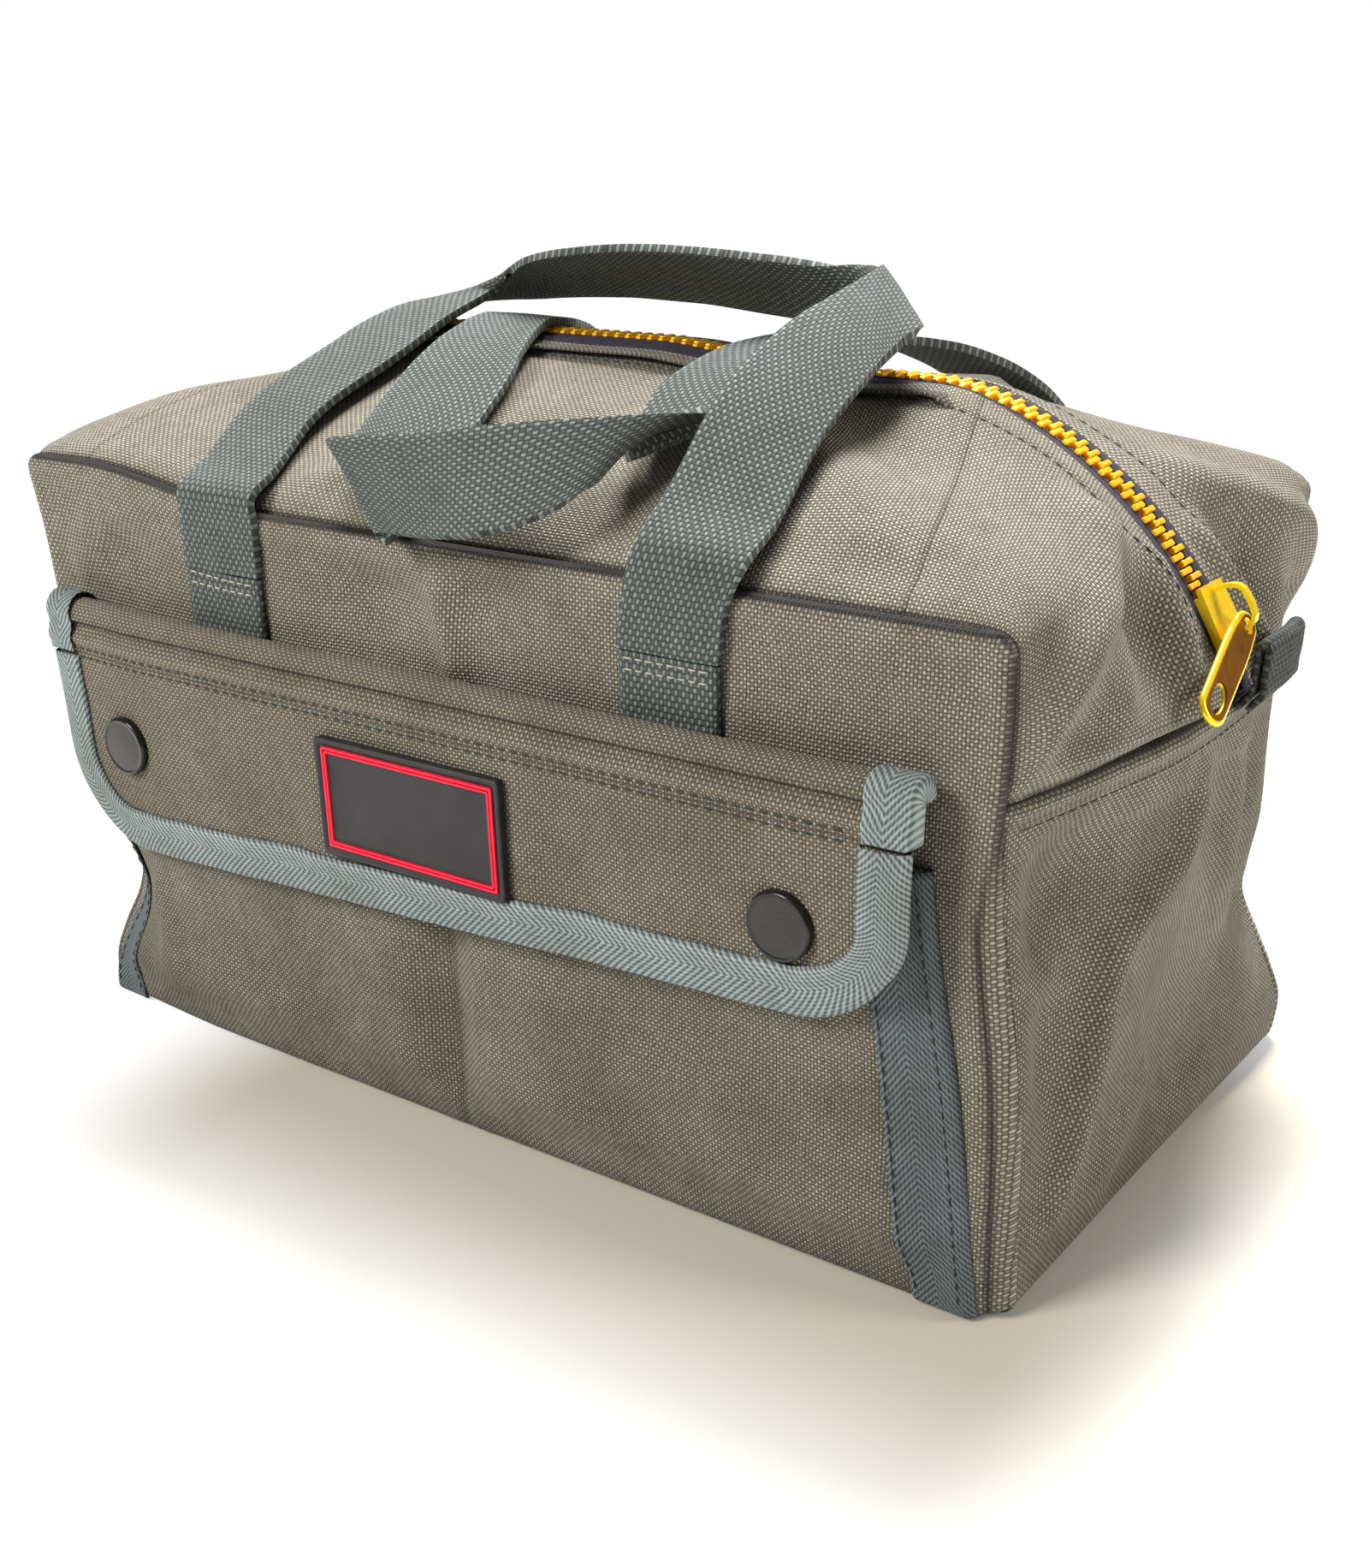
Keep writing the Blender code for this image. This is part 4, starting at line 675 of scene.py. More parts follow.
def profile(at, table):
    """Smooth value read from a table of (place, value)."""
    if at <= table[0][0]:
        return table[0][1]
    last = len(table) - 1
    for number in range(last):
        a, low = table[number]
        b, high = table[number + 1]
        if at <= b:
            before = table[max(number - 1, 0)]
            after = table[min(number + 2, last)]
            span = b - a
            leave = (high - before[1]) / (b - before[0]) * span
            arrive = (after[1] - low) / (after[0] - a) * span
            t = (at - a) / span
            return (low * (2 * t ** 3 - 3 * t * t + 1) + leave * (t ** 3 - 2 * t * t + t)
                    + high * (3 * t * t - 2 * t ** 3) + arrive * (t ** 3 - t * t))
    return table[-1][1]


def sag(point):
    """How far the soft body has slumped at a place, as one smooth field that every sewn piece follows."""
    x, y, z = point / MM
    free = ramp(abs(y), 16, 30) if z > 96 else 1.0
    right = ramp(x, 76, 66)
    left = ramp(-x, 84, 56)
    back = ramp(y, -20, 95)
    front = ramp(-y, -20, 95)
    move = BACK_RIGHT_WAY * profile(z, BACK_RIGHT_PULL) * right * back
    move += FRONT_RIGHT_WAY * ramp(x, 118, 24) * front * bell(z - 90, 26)
    move += FRONT_LEFT_WAY * profile(z, FRONT_LEFT_PULL) * left * front
    move += BACK_LEFT_WAY * left * back * bell(z - 58, 40)
    move += BACK_RIGHT_LIFT * ramp(x, 100, 36) * back * bell(z - 148, 16)
    move += LEFT_LIFT * ramp(-x, 56, 62) * ramp(z, 112, 28)
    move += WAVE_WAY * ripple(point, 0.060, 141) * ramp(z, 0, 30) * bell(z - 70, 60)
    return move * free * MM


def settle(item, stuff):
    """Let a piece follow the sag; hard pieces keep their shape and only move along."""
    mesh = item.data
    if stuff in STIFF:
        middle = sum((vertex.co for vertex in mesh.vertices), Vector()) / len(mesh.vertices)
        step = sag(middle)
        for vertex in mesh.vertices:
            vertex.co += step
    else:
        for vertex in mesh.vertices:
            vertex.co += sag(vertex.co)


def add_item(name, data):
    item = bpy.data.objects.new(name, data)
    bpy.context.scene.collection.objects.link(item)
    return item


def piece(name, mesh, stuff, body, nodes=()):
    """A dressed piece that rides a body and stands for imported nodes."""
    item = add_item(name, mesh)
    if not body.endswith("handle"):
        settle(item, stuff)
    item.data.materials.append(STUFF[stuff])
    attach(item, body)
    if nodes:
        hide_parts(*nodes)
    return item


def shade_smooth(mesh, smooth=True):
    mesh.polygons.foreach_set("use_smooth", [smooth] * len(mesh.polygons))


def write_uv(mesh, uv_of_vertex):
    layer = mesh.uv_layers.new(name="cloth")
    for loop in mesh.loops:
        layer.data[loop.index].uv = uv_of_vertex[loop.vertex_index]


def cloth(name, rows, outward, thickness, stuff, body, nodes=(), uv=None, tone=None, offset=-1.0):
    """A thick cloth piece whose outer face runs through the rows of points."""
    width = len(rows[0])
    points = [tuple(point) for row in rows for point in row]
    faces = []
    for start in range(0, len(points) - width, width):
        for low in range(start, start + width - 1):
            faces.append((low, low + 1, low + 1 + width, low + width))
    mesh = bpy.data.meshes.new(name)
    mesh.from_pydata(points, [], faces)
    lean = sum((polygon.normal * polygon.area for polygon in mesh.polygons), Vector())
    if lean.dot(Vector(outward)) < 0:
        mesh.flip_normals()
    write_uv(mesh, [place for row in uv or arc_uv(rows) for place in row])
    shade = mesh.attributes.new("tone", "FLOAT", "POINT")
    if tone:
        shade.data.foreach_set("value", [value for row in tone for value in row])
    shade_smooth(mesh)
    item = piece(name, mesh, stuff, body, nodes)
    if thickness:
        solid = item.modifiers.new("thickness", "SOLIDIFY")
        solid.thickness = thickness
        solid.offset = offset
        solid.use_quality_normals = True
    return item


def cloth_grid(name, grid, outward, thickness, stuff, body, node):
    """A thick cloth piece from a grid of (point, tone, UV)."""
    rows, tone, uv = ([[cell[part] for cell in row] for row in grid] for part in range(3))
    cloth(name, rows, outward, thickness, stuff, body, (node,), uv, tone)


def walk(places, step):
    """Places at equal steps along a path of (point, normal)."""
    result = []
    left = 0.0
    for (a, m), (b, n) in zip(places, places[1:]):
        span = (b - a).length
        if span < 1e-9:
            continue
        at = left
        while at < span:
            share = at / span
            result.append((a.lerp(b, share), m.lerp(n, share).normalized()))
            at += step
        left = at - span
    return result


STITCH_RINGS = 6
STITCH_SIDES = 6
STITCH_SINK = 0.0001
# Length, gap and thread radius of the kinds of stitch, in millimetres
PLAIN_STITCH = (2.5, 1.0, 0.30)
FINE_STITCH = (2.4, 0.9, 0.22)
TIGHT_STITCH = (2.3, 0.9, 0.24)
SHORT_STITCH = (2.0, 0.8, 0.24)
LONG_STITCH = (2.6, 1.0, 0.22)


def stitches(name, places, stuff, body, kind=PLAIN_STITCH):
    """A row of stitches along a path of (point, normal)."""
    length, gap, radius = kind
    step = length * MM / STITCH_RINGS
    fine = walk(places, step)
    period = int(round((length + gap) * MM / step))
    radius *= MM
    verts, faces = [], []
    corners = range(STITCH_SIDES)
    for start in range(0, len(fine) - STITCH_RINGS - 1, period):
        base = len(verts)
        for ring in range(STITCH_RINGS + 1):
            point, normal = fine[start + ring]
            ahead = fine[min(start + ring + 1, len(fine) - 1)][0] - fine[max(start + ring - 1, 0)][0]
            side = normal.cross(ahead.normalized()).normalized()
            bow = math.sin(math.pi * ring / STITCH_RINGS)
            wide = radius * (0.35 + 0.65 * bow ** 0.5)
            centre = point + normal * ((0.55 * radius + STITCH_SINK) * bow - STITCH_SINK)
            for corner in corners:
                turn = math.tau * corner / STITCH_SIDES
                verts.append(centre + side * wide * math.cos(turn) + normal * wide * math.sin(turn))
        for ring in range(STITCH_RINGS):
            low = base + ring * STITCH_SIDES
            for corner in corners:
                a, b = low + corner, low + (corner + 1) % STITCH_SIDES
                faces.append((a, b, b + STITCH_SIDES, a + STITCH_SIDES))
        faces.append(tuple(base + corner for corner in reversed(corners)))
        faces.append(tuple(base + STITCH_RINGS * STITCH_SIDES + corner for corner in corners))
    mesh = bpy.data.meshes.new(name)
    mesh.from_pydata([tuple(vert) for vert in verts], [], faces)
    shade_smooth(mesh)
    piece(name, mesh, stuff, body)


# Places on the model

def face_depth(height):
    return (BASE_DEPTH + (BAG_DEPTH - BASE_DEPTH) * height / EDGE_HEIGHT) / 2


def on_front(x, height, standoff):
    return Vector((x, -face_depth(height) - standoff, height))


def end_reach(y, height):
    rise = height / END_SEAM_HEIGHT
    belly = END_BELLY * max(rise, 0) ** 1.5 * (1 - (y / SEAM_DEPTH) ** 2)
    return HALF_BASE + (HALF_LENGTH - HALF_BASE) * rise + belly


def wall_half(height):
    if height <= CORNER_Z:
        return HALF_BASE + (HALF_LENGTH - HALF_BASE) * min(height / END_SEAM_HEIGHT, 1)
    rise = min((height - CORNER_Z) / CORNER_RADIUS, 1)
    return CORNER_X + CORNER_RADIUS * math.sqrt(1 - rise * rise)


def wall_edge_distance(x, height):
    """Distance from a place on the front or back face to the face's outline."""
    if abs(x) > CORNER_X and height > CORNER_Z:
        return CORNER_RADIUS - math.hypot(abs(x) - CORNER_X, height - CORNER_Z)
    return min(wall_half(min(height, CORNER_Z)) - abs(x), EDGE_HEIGHT - height)


ZIP_SINK = 0.0042
ZIP_SINK_START = 0.005
ZIP_SINK_RUN = 0.045
ZIP_RISE_RUN = 0.030


def zip_dip(run):
    """How far the zip has sunk beside the handles' right legs."""
    sinking = ramp(run, ZIP_SINK_START, ZIP_SINK_RUN)
    return ZIP_SINK * sinking * ramp(CREASE_RUN - run, 0, ZIP_RISE_RUN)


def zip_place(run):
    side = math.copysign(1, run)
    dip = Vector((0, 0, zip_dip(run)))
    beyond = abs(run) - ZIP_STRAIGHT
    if beyond <= 0:
        return Vector((run, 0, CROWN_HEIGHT)) - dip, Vector((0, 0, 1))
    turn = beyond / ZIP_RADIUS
    normal = Vector((side * math.sin(turn), 0, math.cos(turn)))
    centre = Vector((side * ARC_CENTRE.x, 0, ARC_CENTRE.z))
    return centre + normal * ZIP_RADIUS - dip, normal


def edge_place(run, seam_share):
    """The place on the roof's outer edge that belongs to a run along the zip."""
    side = math.copysign(1, run)
    if seam_share <= 0:
        return Vector((EDGE_CREASE * run / CREASE_RUN, 0, ROOF_EDGE_HEIGHT))
    flat = CORNER_X - EDGE_CREASE
    arc = CORNER_RADIUS * math.pi / 2
    drop = ROOF_CORNER_Z - END_SEAM_HEIGHT - 2 * GAP
    along = seam_share * (flat + arc + drop)
    if along < flat:
        return Vector((side * (EDGE_CREASE + along), 0, ROOF_EDGE_HEIGHT))
    if along < flat + arc:
        turn = (along - flat) / CORNER_RADIUS
        x, z = CORNER_X + CORNER_RADIUS * math.sin(turn), ROOF_CORNER_Z + CORNER_RADIUS * math.cos(turn)
        return Vector((side * x, 0, z))
    return Vector((side * HALF_LENGTH, 0, ROOF_CORNER_Z - (along - flat - arc)))


def roof_place(run, depth, seam_share, under=0.0):
    """A place on the roof at a run along the zip and a depth beside it, or at a level under its face."""
    on_zip, normal = zip_place(run)
    near = on_zip + normal * ZIP_DROP
    if seam_share > 0:
        end_share = seam_share ** 2
        seam = Vector((math.copysign(end_reach(0, END_SEAM_HEIGHT), run), 0, END_SEAM_HEIGHT + 2 * GAP))
        last = max(0, (seam_share - SHOULDER_ZIP_SHARE) / (1 - SHOULDER_ZIP_SHARE))
        near = near.lerp(seam, last)
        lean = Vector((math.copysign(1, run), 0, 0))
        normal = normal.lerp(lean, end_share).normalized()
    crown = ROOF_CROWN + (SEAM_CROWN - ROOF_CROWN) * seam_share
    share = max(0, (abs(depth) - CANVAS_EDGE) / ROOF_SPAN)
    place = near.lerp(edge_place(run, seam_share), share)
    place += normal * (crown * CROWN_PEAK * share * share * (1 - share) - under)
    place.y = depth
    return place


def frame_at(place, x, y, z):
    """Transform to a place, with the axes along three unit ways."""
    return Matrix.Translation(place) @ Matrix((x, y, z)).transposed().to_4x4()


def zip_frame(angle, end=1):
    normal = Vector((end * math.sin(angle), 0, math.cos(angle)))
    along = Vector((end * math.cos(angle), 0, -math.sin(angle)))
    centre = Vector((end * ARC_CENTRE.x, 0, ARC_CENTRE.z)) + normal * ZIP_RADIUS
    return frame_at(centre, along, normal.cross(along), normal)


def pull_frame():
    slider = zip_frame(SLIDER_ANGLE)
    down = (slider.to_3x3() @ Vector(PULL_LIE_SHARES)).normalized()
    out = slider.to_3x3() @ Vector((0, 0, 1))
    face = (out - down * out.dot(down)).normalized()
    place = slider @ Vector((BAIL_END - PULL_HINGE_INSET, 0, PULL_HINGE_HEIGHT))
    return frame_at(place, down, face.cross(down), face)


def front_frame(x, height, standoff):
    up = (on_front(0, EDGE_HEIGHT, 0) - on_front(0, 0, 0)).normalized()
    along = Vector((1, 0, 0))
    return frame_at(on_front(x, height, standoff), along, up, along.cross(up))


def pocket_half(height):
    return POCKET_BASE_HALF + (POCKET_TOP_HALF - POCKET_BASE_HALF) * height / POCKET_HEIGHT


def pocket_standoff(x, height):
    half = pocket_half(height)
    from_seam = min(abs(x), half - abs(x)) / POCKET_SEAM_RUN
    from_floor = (height - POCKET_BOTTOM) / POCKET_SEAM_RUN
    return GAP + POCKET_DEPTH * smooth_step(from_seam) * smooth_step(from_floor)


FLAP_INSET = 0.0006


def flap_half(height):
    """Half length of the flap's canvas at a height, inside its binding."""
    radius = FLAP_CORNER - FLAP_INSET
    rise = (height - FLAP_BOTTOM - FLAP_INSET) / radius
    straight = FLAP_HALF - FLAP_INSET
    if rise >= 1:
        return straight
    return straight - radius + radius * math.sqrt(max(0, 1 - (1 - rise) ** 2))


# Walls

WALL_RIM = 0.0024
WALL_TURN = 0.0062
FLOOR_RIM = 0.0035
SEAM_LEVEL = 0.112
TURN_LEVEL = 0.107
SEAM_INSET = 0.0036
WALL_STEP = 1.9
CALM_RUN = 0.014
# Share of the folds that is left where other cloth covers them
BEHIND_POCKET = 0.25
BEHIND_FLAP = 0.3
FOOT_EDGES = (0, 0.3, 0.8, 1.4, 2.2, 3.4, 5)
WALL_TOP_EDGES = (0, 0.25, 0.6, 1.1, 1.7, 2.4, 3.4, 5, 7)
END_TOP_EDGES = (0, 0.25, 0.6, 1.1, 1.8, 2.6, 3.4, 4.4, 6)
END_SIDE_EDGES = (-0.5, 0, 0.6, 1.1, 1.7, 2.5, 3.6, 5, 7)

# Ridges and grooves beside the seams, as (height, distance, half width), and their tones: painted highlight
# on the ridges, painted shade in the seams and under the top edge
WALL_TOP_WELT = (0.00038, 0.0042, 0.0022)
WALL_SEAM_WELT = (0.00040, 0.0030, 0.0014)
WALL_SEAM_GROOVE = (-0.00050, 0, 0.0009)
WALL_SEAM_TONE = (0.22, 0.0030, 0.0012)
WALL_TOP_TONES = ((0.25, 0.0036, 0.0014), (-0.9, 0, 0.0010))
END_TOP_WELT = (0.0010, 0.0024, 0.0015)
END_TOP_GROOVE = (-0.0005, 0.0062, 0.0020)
END_LIP = (-0.0009, 0, 0.0009)
END_SIDE_GROOVE = (-0.00022, 0, 0.0012)
END_TOP_TONES = ((-0.9, 0, 0.0008), (0.65, 0.0022, 0.0012))


def below_seam(height, level=SEAM_LEVEL):
    """1 on the lower part of a wall, falling to 0 at the level of the end seam."""
    return ramp(level - height, 0, 0.030)


def corner_turn(height):
    """Radius of the soft upright corners: tight at the shoulders, rounder below the end seam."""
    return mix(WALL_RIM, WALL_TURN, below_seam(height, TURN_LEVEL))


def wall(name, side):
    heights = ladder(0.0, EDGE_HEIGHT, WALL_STEP, FOOT_EDGES, WALL_TOP_EDGES)
    shares = [x / HALF_LENGTH for x in spread(HALF_LENGTH, step=WALL_STEP)]

    def spot(share, height):
        half, turn, lower = wall_half(height), corner_turn(height), below_seam(height)
        x = half * share
        edge = wall_edge_distance(x, height)
        top = EDGE_HEIGHT - height
        off_seam = half - abs(x) - SEAM_INSET * lower
        calm = ramp(edge, 0, CALM_RUN) * ramp(height, 0, CALM_RUN)
        if side < 0 and height < SEAM_LEVEL:
            calm *= BEHIND_POCKET
        out = calm * (waves(name, (x, side, height)) + shapes(name, x, height))
        out += welts(top, WALL_TOP_WELT) * ramp(half - abs(x), 0, 0.006)
        out += welts(off_seam, WALL_SEAM_WELT) + welts(off_seam, WALL_SEAM_GROOVE) * lower
        if edge < turn or height < FLOOR_RIM:
            out -= rim_pair(edge, turn, height, FLOOR_RIM)
        drawn_in = rim(height, FLOOR_RIM) * ramp(turn - edge, 0, turn)
        # Painted shade along the upright seams, the side edges and under the top edge, and painted highlight
        # on the welts beside them
        seam_shade = bell(off_seam, 0.0008) if lower > 0.02 else bell(edge, 0.0009)
        tone = -0.85 * mix(bell(edge, 0.0009), seam_shade, lower)
        tone += welts(off_seam, WALL_SEAM_TONE) + welts(top, *WALL_TOP_TONES)
        place = Vector((x - math.copysign(drawn_in, x), side * (face_depth(height) + out), height))
        return place, max(tone, -1.0), (x, height)

    grid = [[spot(share, height) for share in shares] for height in heights]
    cloth_grid(name, grid, (0, side, 0), CANVAS, "canvas", "bag_body", name.replace("_wall", "_panel"))


def end_wall(name, end):
    heights = ladder(0.0, END_SEAM_HEIGHT, WALL_STEP, FOOT_EDGES, END_TOP_EDGES)
    inner = face_depth(END_SEAM_HEIGHT) - WALL_RIM
    shares = [y / inner for y in spread(inner, END_SIDE_EDGES, WALL_STEP)]

    def spot(share, height):
        half, lower = face_depth(height) - corner_turn(height), below_seam(height)
        y = half * share
        edge = half - abs(y)
        top = END_SEAM_HEIGHT - height
        calm = ramp(edge, -0.001, 0.016) * ramp(top, 0, 0.016) * ramp(height, 0, 0.016)
        out = calm * (waves(name, (end, y, height)) + shapes(name, y, height))
        out += welts(top, END_TOP_WELT) * ramp(edge, 0, 0.004)
        out += welts(top, END_TOP_GROOVE) * ramp(edge, 0, 0.006) + welts(top, END_LIP)
        out += welts(edge, END_SIDE_GROOVE) * lower
        out -= rim(max(edge, 0.0), 0.0013) * (1 - lower) + rim(height, FLOOR_RIM)
        # Painted shade along the side edges and under the top seam, painted highlight on the welt below it
        tone = -0.85 * bell(edge, 0.0009) * (1 - lower) + welts(top, *END_TOP_TONES)
        return Vector((end * (end_reach(y, height) - 0.0002 + out), y, height)), tone, (y, height)

    grid = [[spot(share, height) for share in shares] for height in heights]
    # The tucked-in row is painted in full shade
    tuck = Vector((-0.0026 * end, 0, 0.0012))
    grid.append([(point + tuck, -1.0, (y, height + 0.003)) for point, _, (y, height) in grid[-1]])
    cloth_grid(name, grid, (end, 0, 0), CANVAS, "pocket", "bag_body", name.replace("_wall", "_panel"))


def base_panel():
    xs = spread(HALF_BASE - FLOOR_RIM, (0, 1, 3))
    ys = spread(BASE_DEPTH / 2 - FLOOR_RIM, (0, 1, 3))
    rows = [[Vector((x, y, 0.0002 + 0.0004 * (1 + ripple((x, y, 0), 0.03, 3)))) for y in ys] for x in xs]
    cloth("base", rows, (0, 0, -1), FLOOR_THICKNESS - GAP, "canvas", "bag_body", ("bottom_panel",))


# Roof

HEM_RADIUS = 0.00075
ZIP_PROUD = 0.0018
DEPTH_SHARES = [0.0, 0.012, 0.03, 0.055, 0.08, 0.10, 0.115, 0.128, 0.14, 0.155, 0.175, 0.20]
DEPTH_SHARES += [0.20 + 0.72 * number / 34 for number in range(1, 35)]
DEPTH_SHARES += [0.935, 0.95, 0.963, 0.974, 0.983, 0.99, 0.996, 1.0]
MOUTH_STEPS = 90
SHOULDER_STEPS = 40
CREASE_SOFTENING = 60
TAPE_STEPS = 7
ZIP_FOOT_HALF = 0.0100
ZIP_FOOT_START = 0.826
HEM_WELTS = ((0.00022, 0.0050, 0.0020), (-0.00022, 0.0082, 0.0012))
# Painted highlight on the hem's fold and the edge welt, painted shade in the hem's stitch groove and at the
# roof's edge seam
HEM_TONES = ((0.3, 0, 0.0012), (-0.25, 0.0082, 0.0010))
ROOF_EDGE_WELT = (0.00042, 0.0042, 0.0022)
ROOF_EDGE_TONES = ((-0.95, 0, 0.0011), (0.3, 0.0036, 0.0016))


def hem_edge(run):
    """Distance of the canvas fold from the zip's middle: close to the teeth along the top."""
    return CANVAS_EDGE - 0.0015 * ramp(CREASE_RUN + 0.002 - abs(run), 0, 0.020)


def proud(run):
    """How far the zip stands up along the top; it lies flat where the slider runs."""
    return ZIP_PROUD * ramp(CREASE_RUN + 0.001 - abs(run), 0, 0.030)


def roof_relief(depth, seam_share, point, side):
    """Relief of the roof: soft waves, the hem's stitched ridge and the rolled top edge."""
    face = "roof_front" if side < 0 else "roof_back"
    outer = SEAM_DEPTH - abs(depth)
    inner = abs(depth) - CANVAS_EDGE
    calm = ramp(outer, 0, CALM_RUN) * ramp(inner, 0, 0.010)
    if seam_share > 0:
        calm *= ramp(1 - seam_share, 0, 0.15)
    sunk = mix(0.7, 1.5, ramp(abs(point.x), 0.080, 0.030)) * MM * bell(inner, 0.0065)
    out = calm * waves(face, point) - sunk - rim(outer, 0.0015)
    out += welts(inner, *HEM_WELTS) + welts(outer, ROOF_EDGE_WELT)
    return out + calm * ramp(1 - seam_share, 0, 0.9) * shapes(face, point.x, point.y)


def shoulder_stations(end):
    """Places along a shoulder's zip and on down to its end seam: (run, share of the way to the seam)."""
    stations = []
    for step in range(SHOULDER_STEPS + 1):
        share = step / SHOULDER_STEPS
        turn = mix(CREASE_ANGLE, ZIP_END_ANGLE, share)
        stations.append((end * (ZIP_STRAIGHT + ZIP_RADIUS * turn), SHOULDER_ZIP_SHARE * share))
    last = stations[-1][0]
    return stations + [(last, share) for share in (0.93, 0.955, 0.97, 0.982, 0.992, 1.0)]


def mouth_stations():
    return [(CREASE_RUN * (2 * step / MOUTH_STEPS - 1), 0.0) for step in range(MOUTH_STEPS + 1)]


def roof_sheet(side):
    """The whole roof of one side as one smooth sheet, with the indexes of its two creases."""
    left = list(reversed(shoulder_stations(-1)))[:-1]
    middle = mouth_stations()
    stations = left + middle + shoulder_stations(1)[1:]
    creases = (len(left), len(left) + len(middle) - 1)
    rows = []
    for run, seam_share in stations:
        depths = [side * mix(hem_edge(run), SEAM_DEPTH, share) for share in DEPTH_SHARES]
        rows.append([roof_place(run, depth, seam_share) for depth in depths])
    near = [max(bell(number - crease, 9) for crease in creases) for number in range(len(rows))]
    hold = [ramp(share, 0.06, 0.2) for share in DEPTH_SHARES]
    for _ in range(CREASE_SOFTENING):
        before = [[point.copy() for point in row] for row in rows]
        for i in range(1, len(rows) - 1):
            if near[i] < 0.02:
                continue
            for j, keep in enumerate(hold):
                halfway = (before[i - 1][j] + before[i + 1][j]) / 2
                rows[i][j] = before[i][j].lerp(halfway, 0.5 * near[i] * keep)

    def relief(i, j, point):
        seam_share, share = stations[i][1], DEPTH_SHARES[j]
        out = roof_relief(side * (CANVAS_EDGE + ROOF_SPAN * share), seam_share, point, side)
        if seam_share > 0:
            edge = ramp(1 - share, 0, 0.12) * ramp(share, 0, 0.12)
            seam = ramp(1 - seam_share, 0, 0.22) * ramp(seam_share, 0, 0.3)
            out += shapes("shoulder", -abs(point.y), point.z) * edge * seam
        return out - 0.0011 * ramp(seam_share, 0.93, 0.07)

    return stations, pushed(rows, (0, 0, 1), relief), creases


def roof_piece(name, stations, rows, body, nodes):
    """Part of the roof sheet with its folded hem along the zip."""
    normals = grid_normals(rows)
    lean = sum((normal for line in normals for normal in line), Vector())
    sign = 1 if lean.z >= 0 else -1
    shades = [welts((1 - share) * ROOF_SPAN, *ROOF_EDGE_TONES) + welts(share * ROOF_SPAN, *HEM_TONES)
              for share in DEPTH_SHARES]
    hemmed, tone = [], []
    for (_, seam_share), row, line in zip(stations, rows, normals):
        out = line[0] * sign
        inward = (row[0] - row[1]).normalized()
        under = row[0] - out * 2 * HEM_RADIUS
        hem = [under - inward * 0.009, under - inward * 0.004, under]
        for step in range(6, 1, -1):
            turn = math.pi * step / 6
            reach, drop = HEM_RADIUS * math.sin(turn), HEM_RADIUS * (1 - math.cos(turn))
            hem.append(row[0] + inward * reach - out * drop)
        hemmed.append(hem + [row[0] + inward * HEM_RADIUS * 0.3] + row)
        # Painted shade on the hem's underside rows and darker towards the end seam, painted highlight on the
        # hem's fold
        dark = 0.7 * ramp(seam_share, 0.955, 0.045)
        tone.append([-0.5] * 3 + [0.0] * 5 + [0.3] + [max(shade - dark, -1.0) for shade in shades])
    if body == "bag_body":
        tip = 0 if stations[0][1] > 0.5 else -1
        way = Vector((math.copysign(0.0022, -stations[tip][0]), 0, -0.0012))
        at = 0 if tip == 0 else len(hemmed)
        hemmed.insert(at, [point + way for point in hemmed[tip]])
        # The tucked-in row is painted in full shade
        tone.insert(at, [-1.0] * len(hemmed[0]))
    cloth(name, hemmed, (0, 0, 1), 0.0007, "canvas", body, nodes, tone=tone)


def tape_piece(name, stations, side, body, nodes):
    start = CHAIN_HALF - 0.0008
    rows = []
    for run, seam_share in stations:
        row = []
        for step in range(TAPE_STEPS + 1):
            share = step / TAPE_STEPS
            depth = mix(start, CHAIN_HALF + TAPE_WIDTH, share)
            under = ZIP_DROP - TAPE / 2 - proud(run) * (1 - share)
            row.append(roof_place(run, side * depth, seam_share, under))
        rows.append(row)
    cloth(name, rows, (0, 0, 1), TAPE, "tape", body, nodes)


def zip_foot(word, end):
    """Strip of tape that closes the foot of the zip behind the two stringers."""
    depths = [ZIP_FOOT_HALF * (step / 6 - 1) for step in range(13)]
    under = ZIP_DROP + TAPE * 1.5 + 0.0002
    rows = [[roof_place(run, depth, seam_share, under) for depth in depths]
            for run, seam_share in shoulder_stations(end) if seam_share > ZIP_FOOT_START]
    rows.append([point + Vector((-0.0026 * end, 0, -0.0045)) for point in rows[-1]])
    cloth("zip_foot_" + word, rows, (end, 0, 0), TAPE, "tape", "bag_body")


# Zip

# Plan of one tooth in millimetres: X along the zip, Y from its bead to its tip
TOOTH_PLAN = ((-0.62, -3.9), (0.62, -3.9), (0.66, -2.2), (0.50, -1.5), (0.62, -0.5), (0.70, 0.5),
              (0.56, 1.15), (-0.56, 1.15), (-0.70, 0.5), (-0.62, -0.5), (-0.50, -1.5), (-0.66, -2.2))
TOOTH_NECK = 1.4
TOOTH_LAYERS = ((-1.05, 0.86), (-0.85, 1.0), (0.85, 1.0), (1.12, 0.90), (1.25, 0.66))
TEETH_PHASE = {1: 0.757, -1: 0.257}
TEETH_CLEAR = 0.0007
CORD_STEP = 0.0011
STOP_LENGTH = 0.0024
STOP_WIDTH = 0.0022
RIM_RADIUS = 0.00095
WEB_THICKNESS = 0.0006
PULL_POINTS = 72
PULL_ARC_STEPS = 10
PULL_NECK = 0.0042
PULL_SHOULDER = 0.0080
PULL_START = -PULL_EYE_LENGTH / 2 - PULL_EYE_WALL
PULL_STOP = PULL_START + PULL_LENGTH
TAB_STEPS = 16
FOLD_STEPS = 10


def mesh_piece(name, edit, stuff, body, nodes=(), smooth=True):
    mesh = bpy.data.meshes.new(name)
    bmesh.ops.recalc_face_normals(edit, faces=edit.faces)
    edit.to_mesh(mesh)
    edit.free()
    shade_smooth(mesh, smooth)
    return piece(name, mesh, stuff, body, nodes)


